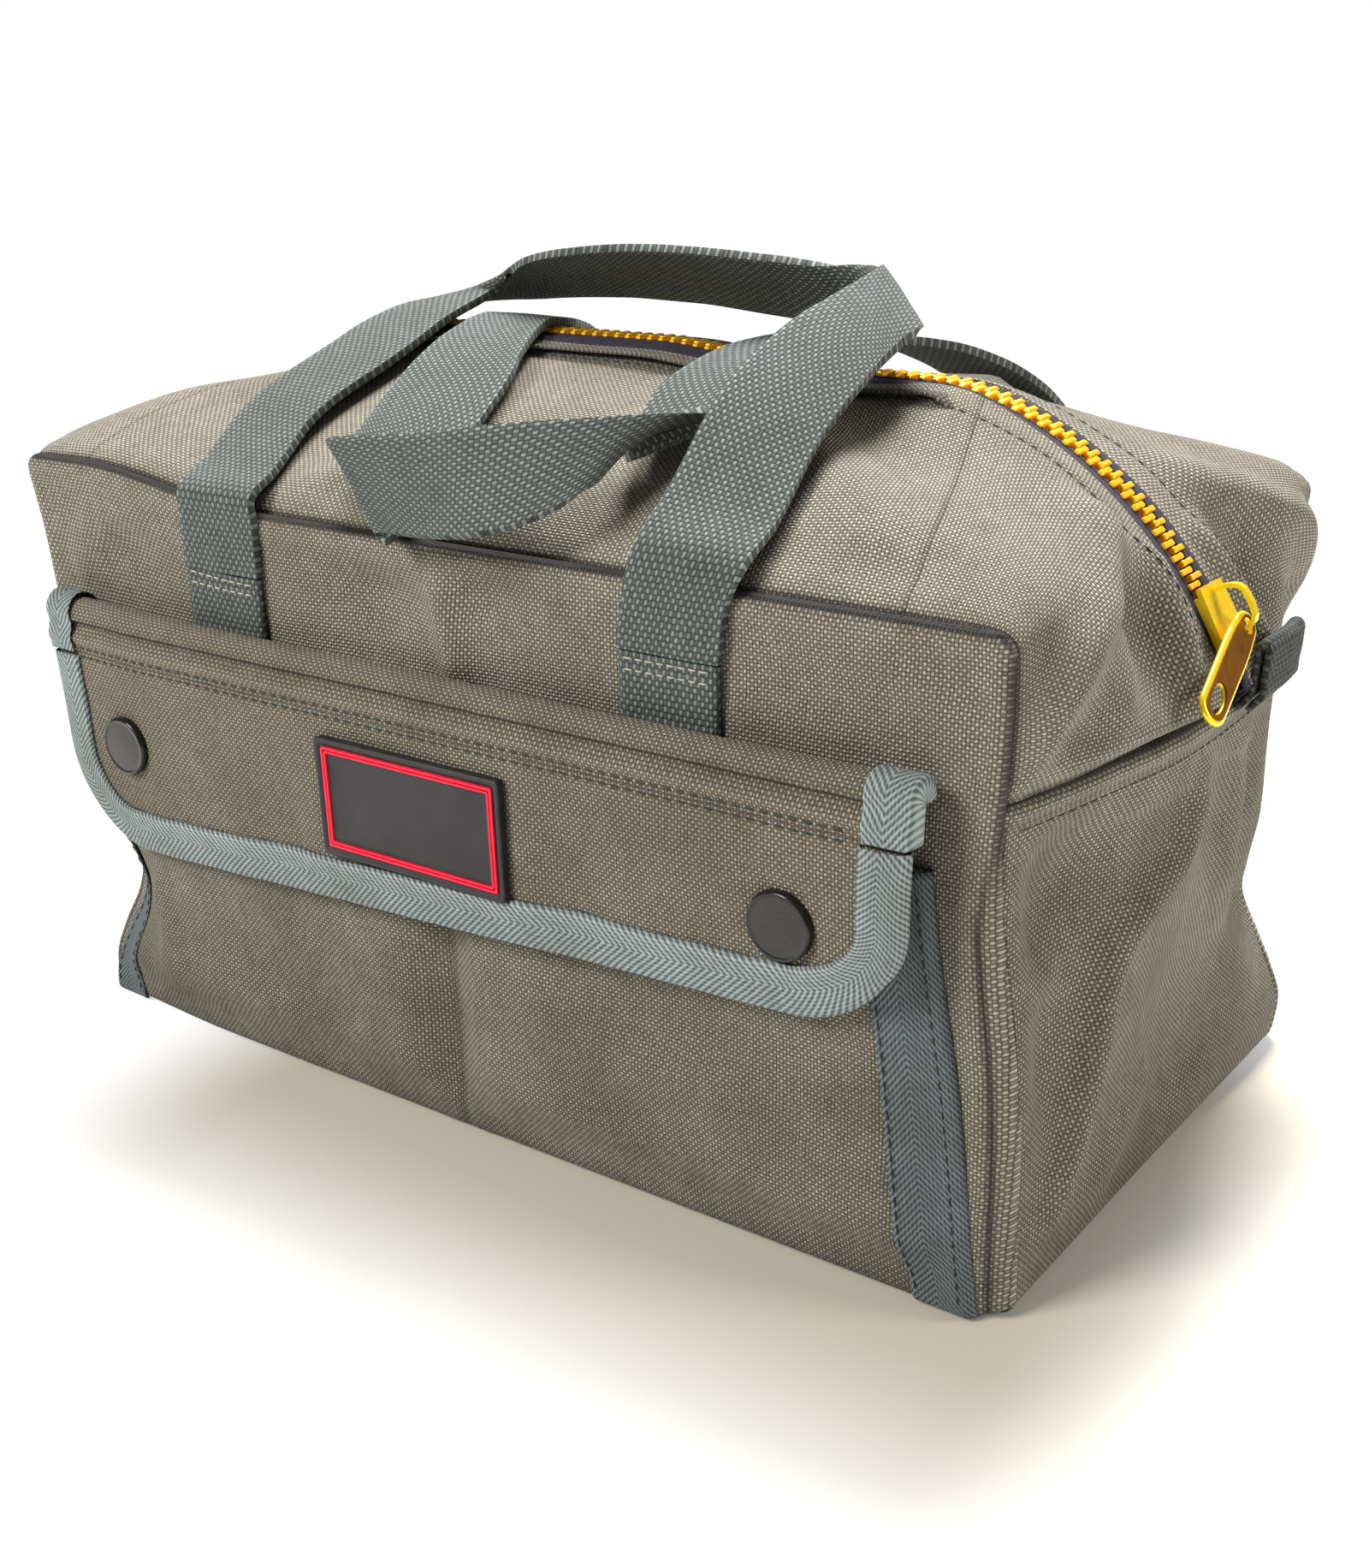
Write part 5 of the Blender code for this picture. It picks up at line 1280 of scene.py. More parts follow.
def bridge(edit, rings, around=False):
    """Faces from each ring of vertices to the next one, and back to the first where they go around."""
    for low, high in zip(rings, rings[1:] + rings[:int(around)]):
        for a in range(len(low)):
            b = (a + 1) % len(low)
            edit.faces.new((low[a], low[b], high[b], high[a]))


def round_edges(item, width, segments, angle=None):
    """Bevel the edges of a piece; the angle is in degrees."""
    bevel = item.modifiers.new("edges", "BEVEL")
    bevel.width = width
    bevel.segments = segments
    bevel.limit_method = "ANGLE"
    if angle:
        bevel.angle_limit = math.radians(angle)


def refinish(node, stuff):
    """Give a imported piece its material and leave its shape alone."""
    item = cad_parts[node]
    item.data.materials.clear()
    item.data.materials.append(STUFF[stuff])
    return item


def chain_place(run):
    centre, normal = zip_place(run)
    return centre + normal * proud(run), normal


def teeth_piece(name, first, last, side, body, node):
    """A row of cast teeth clamped on the tape's cord."""
    edit = bmesh.new()
    phase = TEETH_PHASE[side]
    start = math.ceil((first + TEETH_CLEAR) / TEETH_PITCH - phase)
    stop = math.floor((last - TEETH_CLEAR) / TEETH_PITCH - phase)
    for number in range(start, stop + 1):
        centre, normal = chain_place((number + phase) * TEETH_PITCH)
        along = Vector((normal.z, 0, -normal.x))
        rings = []
        for lift, size in TOOTH_LAYERS:
            ring = []
            for x, y in TOOTH_PLAN:
                reach = (y + TOOTH_NECK) * size - TOOTH_NECK if y < 0 else y * size
                away = along * x * size - Vector((0, side * reach, 0)) + normal * lift
                ring.append(edit.verts.new(centre + away * MM))
            rings.append(ring)
        bridge(edit, rings)
        edit.faces.new(rings[0])
        edit.faces.new(rings[-1])
    round_edges(mesh_piece(name, edit, "brass", body, (node,), smooth=False), 0.00010, 2)


def cord_piece(name, first, last, side, body):
    """Woven cord that the teeth are clamped on, seen as dark notches beside them."""
    rows = []
    count = max(2, int((last - first) / CORD_STEP))
    for step in range(count + 1):
        centre, normal = chain_place(first + (last - first) * step / count)
        row = []
        for corner in range(9):
            turn = math.pi * corner / 8
            reach = CHAIN_HALF - 0.0006 - 0.0010 * math.cos(turn)
            lift = 0.0009 * math.sin(turn) - 0.0003
            row.append(centre + Vector((0, side * reach, 0)) + normal * lift)
        rows.append(row)
    cloth(name, rows, (0, 0, 1), 0, "tape", body)


def stop_piece(name, side, end, node):
    edit = bmesh.new()
    bmesh.ops.create_cube(edit, size=1)
    wide = STOP_WIDTH if side else 2 * CHAIN_HALF
    bmesh.ops.scale(edit, verts=edit.verts, vec=(STOP_LENGTH, wide, TOOTH_HEIGHT))
    bmesh.ops.translate(edit, verts=edit.verts, vec=(0, side * (CHAIN_HALF - STOP_WIDTH / 2), 0))
    bmesh.ops.bevel(edit, geom=edit.edges[:], offset=0.0006, segments=4, affect="EDGES", profile=0.6)
    edit.transform(zip_frame(STOP_ANGLE, end))
    mesh_piece(name, edit, "brass", "bag_body", (node,))


def polished_slider():
    """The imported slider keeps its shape; it gets rounded edges and its finish."""
    item = refinish("zip_slider", "slider")
    round_edges(item, 0.00035, 3, 28)
    shade_smooth(item.data)


def pull_outline(inset):
    """Pull's plan: narrow rounded eye end, full width towards the round tip."""
    eye = PULL_EYE_WIDTH / 2 + PULL_EYE_WALL - inset
    half = PULL_WIDTH / 2 - inset
    points = []
    for step in range(PULL_ARC_STEPS + 1):
        turn = math.pi / 2 + math.pi * step / PULL_ARC_STEPS
        points.append((PULL_START + inset + eye + eye * math.cos(turn), eye * math.sin(turn)))
    points += [(PULL_NECK, -half * 0.93), (PULL_SHOULDER, -half)]
    for step in range(1, PULL_ARC_STEPS + 1):
        turn = -math.pi / 2 + math.pi * step / PULL_ARC_STEPS
        points.append((PULL_STOP - inset - half + half * math.cos(turn), half * math.sin(turn)))
    return points + [(PULL_SHOULDER, half), (PULL_NECK, half * 0.93)]


def loop_oval(centre, length, width, count, wider=0.0):
    """Plan of an oval; it can be wider than the given size by an amount on each side."""
    half_x, half_y = length / 2 + wider, width / 2 + wider
    return [(centre + half_x * math.cos(math.tau * n / count), half_y * math.sin(math.tau * n / count))
            for n in range(count)]


def tube_ring(edit, outline, radius, sides=10, squash=1.0):
    """Closed round bead along a plan outline."""
    points = [Vector((*point, 0)) for point in outline]
    rings = []
    for before, here, after in zip(points[-1:] + points, points, points[1:] + points[:1]):
        side = (after - before).normalized().cross(Vector((0, 0, 1)))
        ring = []
        for corner in range(sides):
            turn = math.tau * corner / sides
            rise = Vector((0, 0, radius * squash * math.sin(turn)))
            ring.append(edit.verts.new(here + side * radius * math.cos(turn) + rise))
        rings.append(ring)
    bridge(edit, rings, around=True)


def resample(outline, count):
    """Evenly spaced points round a closed plan outline."""
    points = [Vector((*point, 0)) for point in outline]
    points.append(points[0])
    lengths = run_lengths(points)
    result = []
    for number in range(count):
        target = lengths[-1] * number / count
        index = max(n for n in range(len(points) - 1) if lengths[n] <= target)
        span = max(lengths[index + 1] - lengths[index], 1e-9)
        spot = points[index].lerp(points[index + 1], (target - lengths[index]) / span)
        result.append((spot.x, spot.y))
    return result


def pull_pieces():
    """Stamped pull: a sunk web with an eye and a finger hole, inside a round bright rim."""
    place = pull_frame()
    eye = (0.0, PULL_EYE_LENGTH, PULL_EYE_WIDTH)
    slot = (PULL_STOP - PULL_SLOT_WALL - PULL_SLOT_LENGTH / 2, PULL_SLOT_LENGTH, PULL_SLOT_WIDTH)
    web = bmesh.new()
    edges = []
    plan = resample(pull_outline(RIM_RADIUS * 1.1), PULL_POINTS)
    for outline in (plan, loop_oval(*eye, 28), loop_oval(*slot, 32)):
        verts = [web.verts.new((x, y, 0)) for x, y in outline]
        edges += [web.edges.new(pair) for pair in zip(verts, verts[1:] + verts[:1])]
    bmesh.ops.triangle_fill(web, edges=edges, use_beauty=True)
    bmesh.ops.solidify(web, geom=web.faces[:], thickness=WEB_THICKNESS)
    web.transform(place @ Matrix.Translation((0, 0, WEB_THICKNESS / 2)))
    mesh_piece("zip_pull_web", web, "recess", "zip_pull", smooth=False)
    rims = bmesh.new()
    tube_ring(rims, resample(pull_outline(RIM_RADIUS), PULL_POINTS), RIM_RADIUS, 12, 0.75)
    tube_ring(rims, loop_oval(*eye, 36, 0.0005), 0.00062, 10, 0.95)
    tube_ring(rims, loop_oval(*slot, 40, 0.0003), 0.00055)
    rims.transform(place)
    mesh_piece("zip_pull_rims", rims, "slider", "zip_pull", ("zip_pull",))


def end_tab(name, end, node):
    """Folded webbing tab with a rounded, thick fold."""
    foot = Vector((end_reach(TAB_START, END_SEAM_HEIGHT) + 0.3 * TAB_WEBBING, 0, END_SEAM_HEIGHT - 0.0006))
    bend = foot + Vector((0.62 * TAB_FLARE, 0, TAB_RISE))
    top = bend + Vector((TAB_LEAN, 0, 0.86 * TAB_HEIGHT - TAB_RISE))
    rise = (top - bend).normalized()
    out = Vector((rise.z, 0, -rise.x))
    route = [foot, foot.lerp(bend, 0.5), bend, bend.lerp(top, 0.33), bend.lerp(top, 0.67), top]
    back = []
    for step in range(1, FOLD_STEPS):
        turn = math.pi * step / FOLD_STEPS
        back.append(top + out * TAB_FOLD * (1 - math.cos(turn)) + rise * 1.25 * TAB_FOLD * math.sin(turn))
    back += [point + out * 2 * TAB_FOLD for point in reversed(route)]
    path = smooth_route(route + back, 3)
    shares = [step / TAB_STEPS for step in range(TAB_STEPS + 1)]
    edges = [min(share, 1 - share) * TAB_WIDTH for share in shares]
    rows = []
    for index, point in enumerate(path):
        row = []
        for share, edge in zip(shares, edges):
            y = TAB_START + TAB_WIDTH * share
            bow = 0.0004 * math.sin(math.pi * share) + 0.0002 * ripple((y, index * 0.002, end), 0.006, 31)
            row.append(Vector((end * (point.x + bow), y, point.z - 0.0008 * bell(edge, 0.0016))))
        rows.append(row)
    # Painted highlight along the tab's two edges
    tone = [[0.5 * bell(edge, 0.001) for edge in edges] for _ in path]
    # The tab's darker webbing is painted shade
    cloth(name, rows, (end, 0, 0), TAB_WEBBING * 0.98, "painted_shade_webbing", "bag_body", (node,), tone=tone,
          offset=0)


# Pocket and flap

POCKET_COLUMNS = 26
POCKET_SEAM_PLACES = (0.0006, 0.0013, 0.0022, 0.0034)
POCKET_SEAM_WELT = (0.00025, 0.0040, 0.0020)
POCKET_FOOT_WELT = (0.00045, 0.0065, 0.0018)
# Painted shade at the pocket's foot, as (tone, distance, half width)
POCKET_FOOT_TONES = ((-0.4, 0, 0.0012), (-0.28, 0, 0.0050))
POCKET_FLAP_LEVEL = 0.058
TAPE_SHARES = (0.87, 0.85, 0.8, 0.7, 0.55, 0.4, 0.25, 0.12, 0.0)
TAPE_DIVE = 0.0006
THIN_TAPE = 0.0004
FLAP_HANG = 0.0120
FLAP_HANG_RUN = 0.0365
FLAP_STEPS = 60
CORNER_STEPS = 22
FLAP_SIDE_STEPS = 13
FLAP_EDGE_STEPS = 90
FLAP_EDGES = (0, 0.1, 0.3, 0.6, 1.1, 1.8)
FLAP_FACE = FLAP_STANDOFF + CANVAS / 2
HEAD_SWELL = 0.00035
HEAD_FOLD_STEPS = 18
HEAD_FACE_STEPS = 12
# Closed end of the head's tape, as (reach in millimetres, share of the head's thickness)
HEAD_TAPE_END = ((0.0, 0.985), (0.45, 0.93), (0.80, 0.80), (1.05, 0.58), (1.18, 0.30), (1.20, 0.04))
# Inset of the two edges of each red line round the patch, in millimetres
RED_LINES = ((2.0, 2.7), (2.9, 3.5))
# Flat parts of the flap, round the patch and round each snap
FLAT_HALF_X = PATCH_LENGTH / 2 + 0.004
FLAT_HALF_Z = PATCH_WIDTH / 2 + 0.0035
FLAT_RADIUS = CAP_RADIUS + 0.0014
PATCH_PLACE = (0.0015, PATCH_HEIGHT + 0.0014)
PATCH_HALF_X = PATCH_LENGTH / 2 - 0.0013
PATCH_HALF_Y = PATCH_WIDTH / 2 - 0.0012
PATCH_CORNER_STEPS = 5
CAP_STEPS = 56
# Section of the patch, as (inset, corner radius, level above its face), all in millimetres
PATCH_SECTION = ((0.0, 1.2, -1.8), (0.0, 1.2, -0.3), (0.1, 1.15, 0.0), (0.4, 1.0, 0.2), (0.9, 0.9, 0.2),
                 (1.3, 0.8, 0.0), (1.6, 0.7, -0.3), (1.9, 0.6, -0.4), (4.0, 0.5, -0.4), (4.3, 0.4, -0.5))
# Dome of a snap cap, as shares of its radius and of its rise
CAP_RIM_SHARES = ((0.845, 0.755), (0.87, 0.80), (0.91, 0.83), (0.95, 0.76), (0.98, 0.60), (1.0, 0.36),
                  (0.995, 0.12), (0.97, 0.0), (0.0, 0.0))


def pocket_columns(half):
    """Places across the pocket, with finer ones beside its middle seam."""
    even = {round(half * n / POCKET_COLUMNS, 6) for n in range(POCKET_COLUMNS + 1)}
    xs = sorted(even.union(POCKET_SEAM_PLACES))
    return [-x for x in reversed(xs[1:])] + xs


def pocket():
    heights = ladder(0.0, POCKET_HEIGHT, 2.4, FOOT_EDGES, (0, 1, 3))

    def spot(x, height):
        from_seam = min(abs(x), pocket_half(height) - abs(x))
        calm = ramp(from_seam, 0, 0.012) * ramp(height, 0, CALM_RUN)
        if height > POCKET_FLAP_LEVEL:
            calm *= BEHIND_FLAP
        out = pocket_standoff(x, max(height, POCKET_BOTTOM)) + CANVAS - rim(height, 0.0034)
        out += calm * (waves("pocket", (x, 5, height)) + shapes("pocket", x, height))
        out += welts(abs(x), POCKET_SEAM_WELT) + welts(height, POCKET_FOOT_WELT)
        # Painted shade along the foot and down the middle seam
        tone = welts(height, *POCKET_FOOT_TONES) - 0.34 * bell(abs(x), 0.0016)
        return on_front(x, height, out), tone, (x, height)

    grid = [[spot(x, height) for x in pocket_columns(pocket_half(height))] for height in heights]
    cloth_grid("pocket", grid, (0, -1, 0), CANVAS, "pocket", "bag_body", "pocket_panel")


def pocket_tape(name, side, node):
    """Twill tape folded over the pocket's side edge."""
    rows, uv = [], []
    skin = CANVAS + GAP + BINDING
    for height in ladder(0.0006, POCKET_HEIGHT, 1.6, (0, 0.8, 1.8, 3), ()):
        half = pocket_half(height)
        dive = rim(height, 0.0030)
        wave = 0.0002 * ripple((0, side, height), 0.008, 51)
        row = []
        for number, share in enumerate(TAPE_SHARES):
            x = half - POCKET_SEAM_RUN * share + wave
            stand = pocket_standoff(x, max(height, POCKET_BOTTOM)) + skin - dive
            row.append(on_front(side * x, height, stand if number else stand - TAPE_DIVE))
        for step in range(1, 5):
            turn = step / 4 * math.pi / 2
            x = half + BINDING_TURN * 0.9 * math.sin(turn) * 0.55 + wave
            row.append(on_front(side * x, height, skin * math.cos(turn) - dive))
        rows.append(row)
        uv.append([(height, run - 0.0065) for run in run_lengths(row)])
    # Painted shade where the tape dives under and where it turns away round the edge, painted highlight on
    # its two edges
    tone = [[-0.3, 0.4] + [0.0] * (len(row) - 4) + [0.35, -0.4] for row in rows]
    cloth(name, rows, (0, -1, 0), BINDING, "side_twill", "bag_body", (node,), uv, tone)


def flap_wave(x, height):
    """Soft unevenness of the flap, smaller towards its stitches and round the patch and snaps."""
    patch = max(abs(x) - FLAT_HALF_X, abs(height - PATCH_HEIGHT) - FLAT_HALF_Z)
    snap = math.hypot(abs(x) - SNAP_SPACING / 2, height - SNAP_HEIGHT) - FLAT_RADIUS
    calm = ramp(FLAP_STITCH - height, 0, FLAT_RADIUS)
    calm *= ramp(patch, -0.0024, 0.008) * ramp(snap, -0.0018, 0.006)
    return calm * (waves("flap", (x, 8, height)) + shapes("flap", x, height))


def hung(x, height):
    """Height on the flap as it hangs: shorter towards its right end."""
    down = min(max((FLAP_STITCH - 0.004 - height) / FLAP_HANG_RUN, 0.0), 1.0)
    return height + FLAP_HANG * (x + FLAP_HALF) / (2 * FLAP_HALF) * down


def flap_face(x, height, out=0.0):
    height = hung(x, height)
    return on_front(x, height, FLAP_FACE + flap_wave(x, height) + out)


def head_swell(x, height=FLAP_STITCH):
    return HEAD_SWELL * ripple((x, 0.2, height), 0.03, 81)


def flap():
    low = ladder(FLAP_BOTTOM + FLAP_INSET, FLAP_BOTTOM + FLAP_CORNER, 2.0, FLAP_EDGES, ())
    heights = low[:-1] + ladder(low[-1], FLAP_STITCH, 2.2, (), (0, 0.7, 1.4, 2.2))

    def spot(x, height):
        swell = head_swell(x) * bell(FLAP_STITCH - height, 0.012)
        return flap_face(x, height, swell), 0.0, (x, hung(x, height))

    shares = [step / FLAP_STEPS - 1 for step in range(2 * FLAP_STEPS + 1)]
    grid = [[spot(flap_half(height) * share, height) for share in shares] for height in heights]
    cloth_grid("flap", grid, (0, -1, 0), CANVAS, "flap", "pocket_flap", "pocket_flap")


def flap_edge_path(top):
    """Places down one side, round the lower corners and up the other, each with its inward way."""
    z, x = FLAP_BOTTOM + FLAP_CORNER, FLAP_HALF - FLAP_CORNER
    path = [(-FLAP_HALF, mix(top, z, step / FLAP_SIDE_STEPS), 1, 0) for step in range(FLAP_SIDE_STEPS)]
    for side, first in ((-1, math.pi), (1, 1.5 * math.pi)):
        for step in range(CORNER_STEPS + 1):
            turn = first + math.pi / 2 * step / CORNER_STEPS
            across, up = math.cos(turn), math.sin(turn)
            path.append((side * x + FLAP_CORNER * across, z + FLAP_CORNER * up, -across, -up))
        if side < 0:
            path += [(mix(-x, x, step / FLAP_EDGE_STEPS), FLAP_BOTTOM, 0, 1)
                     for step in range(1, FLAP_EDGE_STEPS)]
    return path + [(FLAP_HALF, mix(z, top, step / FLAP_SIDE_STEPS), -1, 0)
                   for step in range(1, FLAP_SIDE_STEPS + 1)]


def flap_tape():
    skin = BINDING + GAP
    width = EDGE_BINDING_WIDTH
    section = [(width, -0.0003), (width - 0.0001, skin * 0.8), (width * 0.92, skin),
               (width * 0.72, skin + 0.0001), (width * 0.5, skin + 0.00015), (width * 0.28, skin + 0.0001),
               (width * 0.1, skin * 0.9),
               (0.0, skin * 0.6), (-0.0006, skin * 0.1), (-0.0010, -0.0006), (-0.0010, -0.0013),
               (-0.0006, -0.0020), (0.0002, -0.0025), (width * 0.4, -0.0026), (width, -0.0026)]
    path = flap_edge_path(FLAP_STITCH - 0.0009)
    rows, uv = [], []
    for (x, height, way_x, way_z), run in zip(path, run_lengths([Vector((x, z, 0)) for x, z, _, _ in path])):
        wobble = 0.0003 * ripple((run, 0, 0), 0.010, 71)
        row = []
        for number, (inward, out) in enumerate(section):
            reach = inward + (wobble if number < 3 else 0)
            row.append(flap_face(x + reach * way_x, height + reach * way_z, out))
        rows.append(row)
        uv.append([(run, length - 0.0055) for length in run_lengths(row)])
    # Painted shade where the tape meets the flap and on its underside, painted highlight on its raised inner
    # edge and its rolled outer edge
    tone = [[-0.5, 0.1, 0.35] + [0.0] * 4 + [0.3, 0.3, 0.0] + [-0.2] * 5 for _ in rows]
    cloth("flap_tape", rows, (0, -1, 0), THIN_TAPE, "twill", "pocket_flap", ("flap_binding",), uv, tone)


def head_path(skin):
    """Section of the folded head, from its back foot over the top and down its face."""
    radius = (FLAP_STANDOFF - HEAD_STANDOFF) / 2
    centre = FLAP_TOP - CANVAS / 2 - radius
    low = FLAP_STITCH + GAP / 3
    grown = radius + CANVAS / 2 + skin
    back = HEAD_STANDOFF - CANVAS / 2 - skin
    path = [(back, low), (back, (low + centre) / 2), (back, centre)]
    for step in range(1, HEAD_FOLD_STEPS):
        turn = math.pi * (1 - step / HEAD_FOLD_STEPS)
        path.append((HEAD_STANDOFF + radius + grown * math.cos(turn), centre + grown * math.sin(turn)))
    return path + [(FLAP_FACE + skin, mix(centre, low, step / HEAD_FACE_STEPS))
                   for step in range(HEAD_FACE_STEPS + 1)]


def head_bulge(height):
    """The hollow under the rolled top of the folded head, and the ridge over its stitching."""
    return welts(height - FLAP_STITCH, (0.00085, 0.0034, 0.0012), (-0.0015, 0.0074, 0.0020))


def flap_head():
    path = head_path(0.0)
    runs = run_lengths([Vector((out, height, 0)) for out, height in path])

    def spot(x, number):
        out, height = path[number]
        face = ramp(out, HEAD_STANDOFF, 0.004)
        bulge = head_bulge(height) * face if number > HEAD_FOLD_STEPS + 2 else 0
        # Painted highlight on the ridge and on the rolled top, painted shade in the hollow under the roll
        tone = welts(height - FLAP_STITCH, (0.40, 0.0034, 0.0010), (-0.30, 0.0076, 0.0018)) * face
        tone += 0.50 * bell(height - FLAP_TOP, 0.0016)
        return on_front(x, height, out + head_swell(x, height) * face + bulge), tone, (x, runs[number])

    half = FLAP_HALF - FLAP_INSET
    xs = [half * (step / FLAP_STEPS - 1) for step in range(2 * FLAP_STEPS + 1)]
    grid = [[spot(x, number) for number in range(len(path))] for x in xs]
    cloth_grid("flap_head", grid, (0, -1, 1), CANVAS, "flap", "bag_body", "flap_head")


def head_tape(name, side, node):
    """Tape wrapped round the end of the folded head, closed at the end like a cap."""
    path = head_path(BINDING + 0.0006)[2:]
    runs = run_lengths([Vector((out, height, 0)) for out, height in path])
    middle = (FLAP_STANDOFF + HEAD_STANDOFF) / 2
    core = FLAP_TOP - 0.0042
    inner = FLAP_HALF + 0.0008 - EDGE_BINDING_WIDTH
    places = [(-0.0001, 0.96), (0.0, 0.985)]
    places += [(EDGE_BINDING_WIDTH * step / 8, 1.0) for step in range(1, 8)]
    places += [(EDGE_BINDING_WIDTH + reach * MM, keep) for reach, keep in HEAD_TAPE_END]

    def spot(reach, keep, out, height, run):
        bulge = head_bulge(height) * 0.5 if out > middle + 0.003 else 0
        stand = middle + (out - middle + bulge) * keep
        place = on_front(side * (inner + reach), height - max(height - core, 0.0) * (1 - keep), stand)
        # Painted highlight on the tape's inner edge and on its fold round the end
        tone = 0.45 * bell(reach, 0.0008) + 0.3 * bell(reach - EDGE_BINDING_WIDTH, 0.0010)
        return place, tone, (run, reach - 0.5 * EDGE_BINDING_WIDTH)

    grid = [[spot(*place, *point, run) for point, run in zip(path, runs)] for place in places]
    cloth_grid(name, grid, (0, -1, 1), THIN_TAPE, "twill", "bag_body", node)


def rounded_plan(half_x, half_y, radius):
    points = []
    for sign_x, sign_y, quarter in ((1, 1, 0), (-1, 1, 1), (-1, -1, 2), (1, -1, 3)):
        for step in range(PATCH_CORNER_STEPS + 1):
            turn = (quarter + step / PATCH_CORNER_STEPS) * math.pi / 2
            points.append((sign_x * (half_x - radius) + radius * math.cos(turn),
                           sign_y * (half_y - radius) + radius * math.sin(turn)))
    return points


def patch_part(name, layers, stuff, nodes=(), close=True):
    """A moulded piece through rounded outlines, each (inset, corner radius, level) in millimetres."""
    edit = bmesh.new()
    rings = []
    for inset, radius, level in layers:
        plan = rounded_plan(PATCH_HALF_X - inset * MM, PATCH_HALF_Y - inset * MM, radius * MM)
        rings.append([edit.verts.new((x, y, PATCH_THICKNESS + level * MM)) for x, y in plan])
    bridge(edit, rings, around=not close)
    if close:
        edit.faces.new(rings[0])
        edit.faces.new(rings[-1])
    edit.transform(front_frame(*PATCH_PLACE, FLAP_FACE + GAP))
    mesh_piece(name, edit, stuff, "pocket_flap", nodes, smooth=False)


def patch_pieces():
    patch_part("patch_base", PATCH_SECTION, "rubber", ("patch",))
    for number, (outer, inner) in enumerate(RED_LINES):
        layers = ((outer, 0.6, -0.6), (outer, 0.6, -0.05), (outer + 0.12, 0.5, 0.15),
                  (inner - 0.12, 0.4, 0.15), (inner, 0.3, -0.05), (inner, 0.3, -0.6))
        patch_part("patch_red_%d" % number, layers, "red", () if number else ("patch_border",), close=False)


def snap_cap(name, place, node):
    """A turned dome with a rolled rim."""
    dome = [(0.80 * step / 12, 0.80 - 0.05 * (step / 12) ** 2) for step in range(13)]
    section = [(CAP_RADIUS * out, CAP_RISE * up) for out, up in dome + list(CAP_RIM_SHARES)]
    edit = bmesh.new()
    tip = edit.verts.new((0, 0, section[0][1]))
    turns = [math.tau * n / CAP_STEPS for n in range(CAP_STEPS)]
    ways = [(math.cos(turn), math.sin(turn)) for turn in turns]
    rings = []
    for radius, height in section[1:-1]:
        rings.append([edit.verts.new((radius * x, radius * y, height)) for x, y in ways])
    foot = edit.verts.new((0, 0, section[-1][1]))
    for a, b in zip(rings[0], rings[0][1:] + rings[0][:1]):
        edit.faces.new((tip, a, b))
    bridge(edit, rings)
    for a, b in zip(rings[-1], rings[-1][1:] + rings[-1][:1]):
        edit.faces.new((a, b, foot))
    edit.transform(place)
    mesh_piece(name, edit, "cap", "pocket_flap", (node,))


def snap_pieces(word, side):
    place = front_frame(side * SNAP_SPACING / 2, SNAP_HEIGHT, FLAP_FACE + GAP / 2)
    snap_cap("snap_cap_" + word + "_dome", place, "snap_cap_" + word)
    refinish("snap_socket_" + word, "steel")
    refinish("snap_stud_" + word, "steel")


# Handles

ANCHOR_STEPS = 8
LOOP_STEPS = 14


def anchor(name, x, side, low, node):
    """Sewn-down end of the webbing."""
    half = WEBBING_WIDTH / 2

    def spot(across, height):
        edge, foot = half - abs(across), height - low
        out = GAP + WEBBING - 0.5 * MM * bell(edge, 0.0007) - 0.4 * MM * bell(foot, 0.0008)
        out += 0.12 * MM * ripple((x + across, side, height), 0.007, 91)
        place = Vector((x + across, side * (face_depth(height) + out), height))
        # Painted highlight along the webbing's edges and its foot
        return place, 0.45 * bell(edge, 0.0008) + 0.3 * bell(foot, 0.001), (height, across)

    heights = ladder(low, HANDLE_STITCH - GAP / 2, 1.6, (0, 0.4, 1.0), (0, 0.5))
    places = [half * (step / ANCHOR_STEPS - 1) for step in range(2 * ANCHOR_STEPS + 1)]
    grid = [[spot(place, height) for place in places] for height in heights]
    cloth_grid(name, grid, (0, side, 0), WEBBING, "webbing", "bag_body", node)


def route_place(shares):
    height = CROWN_HEIGHT + shares[2] * ROOF_RISE
    return Vector((shares[0] * HANDLE_SPACING / 2, shares[1] * HALF_DEPTH, height))


def handle(name, route, body, node, seed):
    """Free loop of webbing through the pairs of edge places of its route."""
    outer, inner = (smooth_route([route_place(pair[edge]) for pair in route], 10) for edge in (0, 1))
    shares = [step / LOOP_STEPS for step in range(LOOP_STEPS + 1)]
    rows = [[a.lerp(b, share) for share in shares] for a, b in zip(outer, inner)]
    runs = run_lengths([row[LOOP_STEPS // 2] for row in rows])
    widths = [(row[-1] - row[0]).length for row in rows]
    uv = [[(run, (share - 0.5) * width) for share in shares] for run, width in zip(runs, widths)]
    # Painted highlight along the loop's two edges
    tone = [[0.45 * bell(min(share, 1 - share) * width, 0.0009) for share in shares] for width in widths]

    def relief(_, j, point):
        return 0.18 * MM * ripple(point, 0.009, seed) + 0.25 * MM * math.sin(math.pi * shares[j])

    rows = pushed(rows, (0, 0, 1), relief)
    item = cloth(name, rows, (0, 0, 1), WEBBING * 0.96, "webbing", body, (node,), uv, tone, offset=0)
    round_edges(item, 0.0005, 2, 60)


# Stitching

HEM_STITCH_PLACE = 0.0082
HEM_STITCH_STOP = 0.86
TAPE_STITCH_SHARES = (0.78, 0.08)
TAPE_STITCH_STEPS = 39
ANCHOR_STITCH_INSET = 0.0028
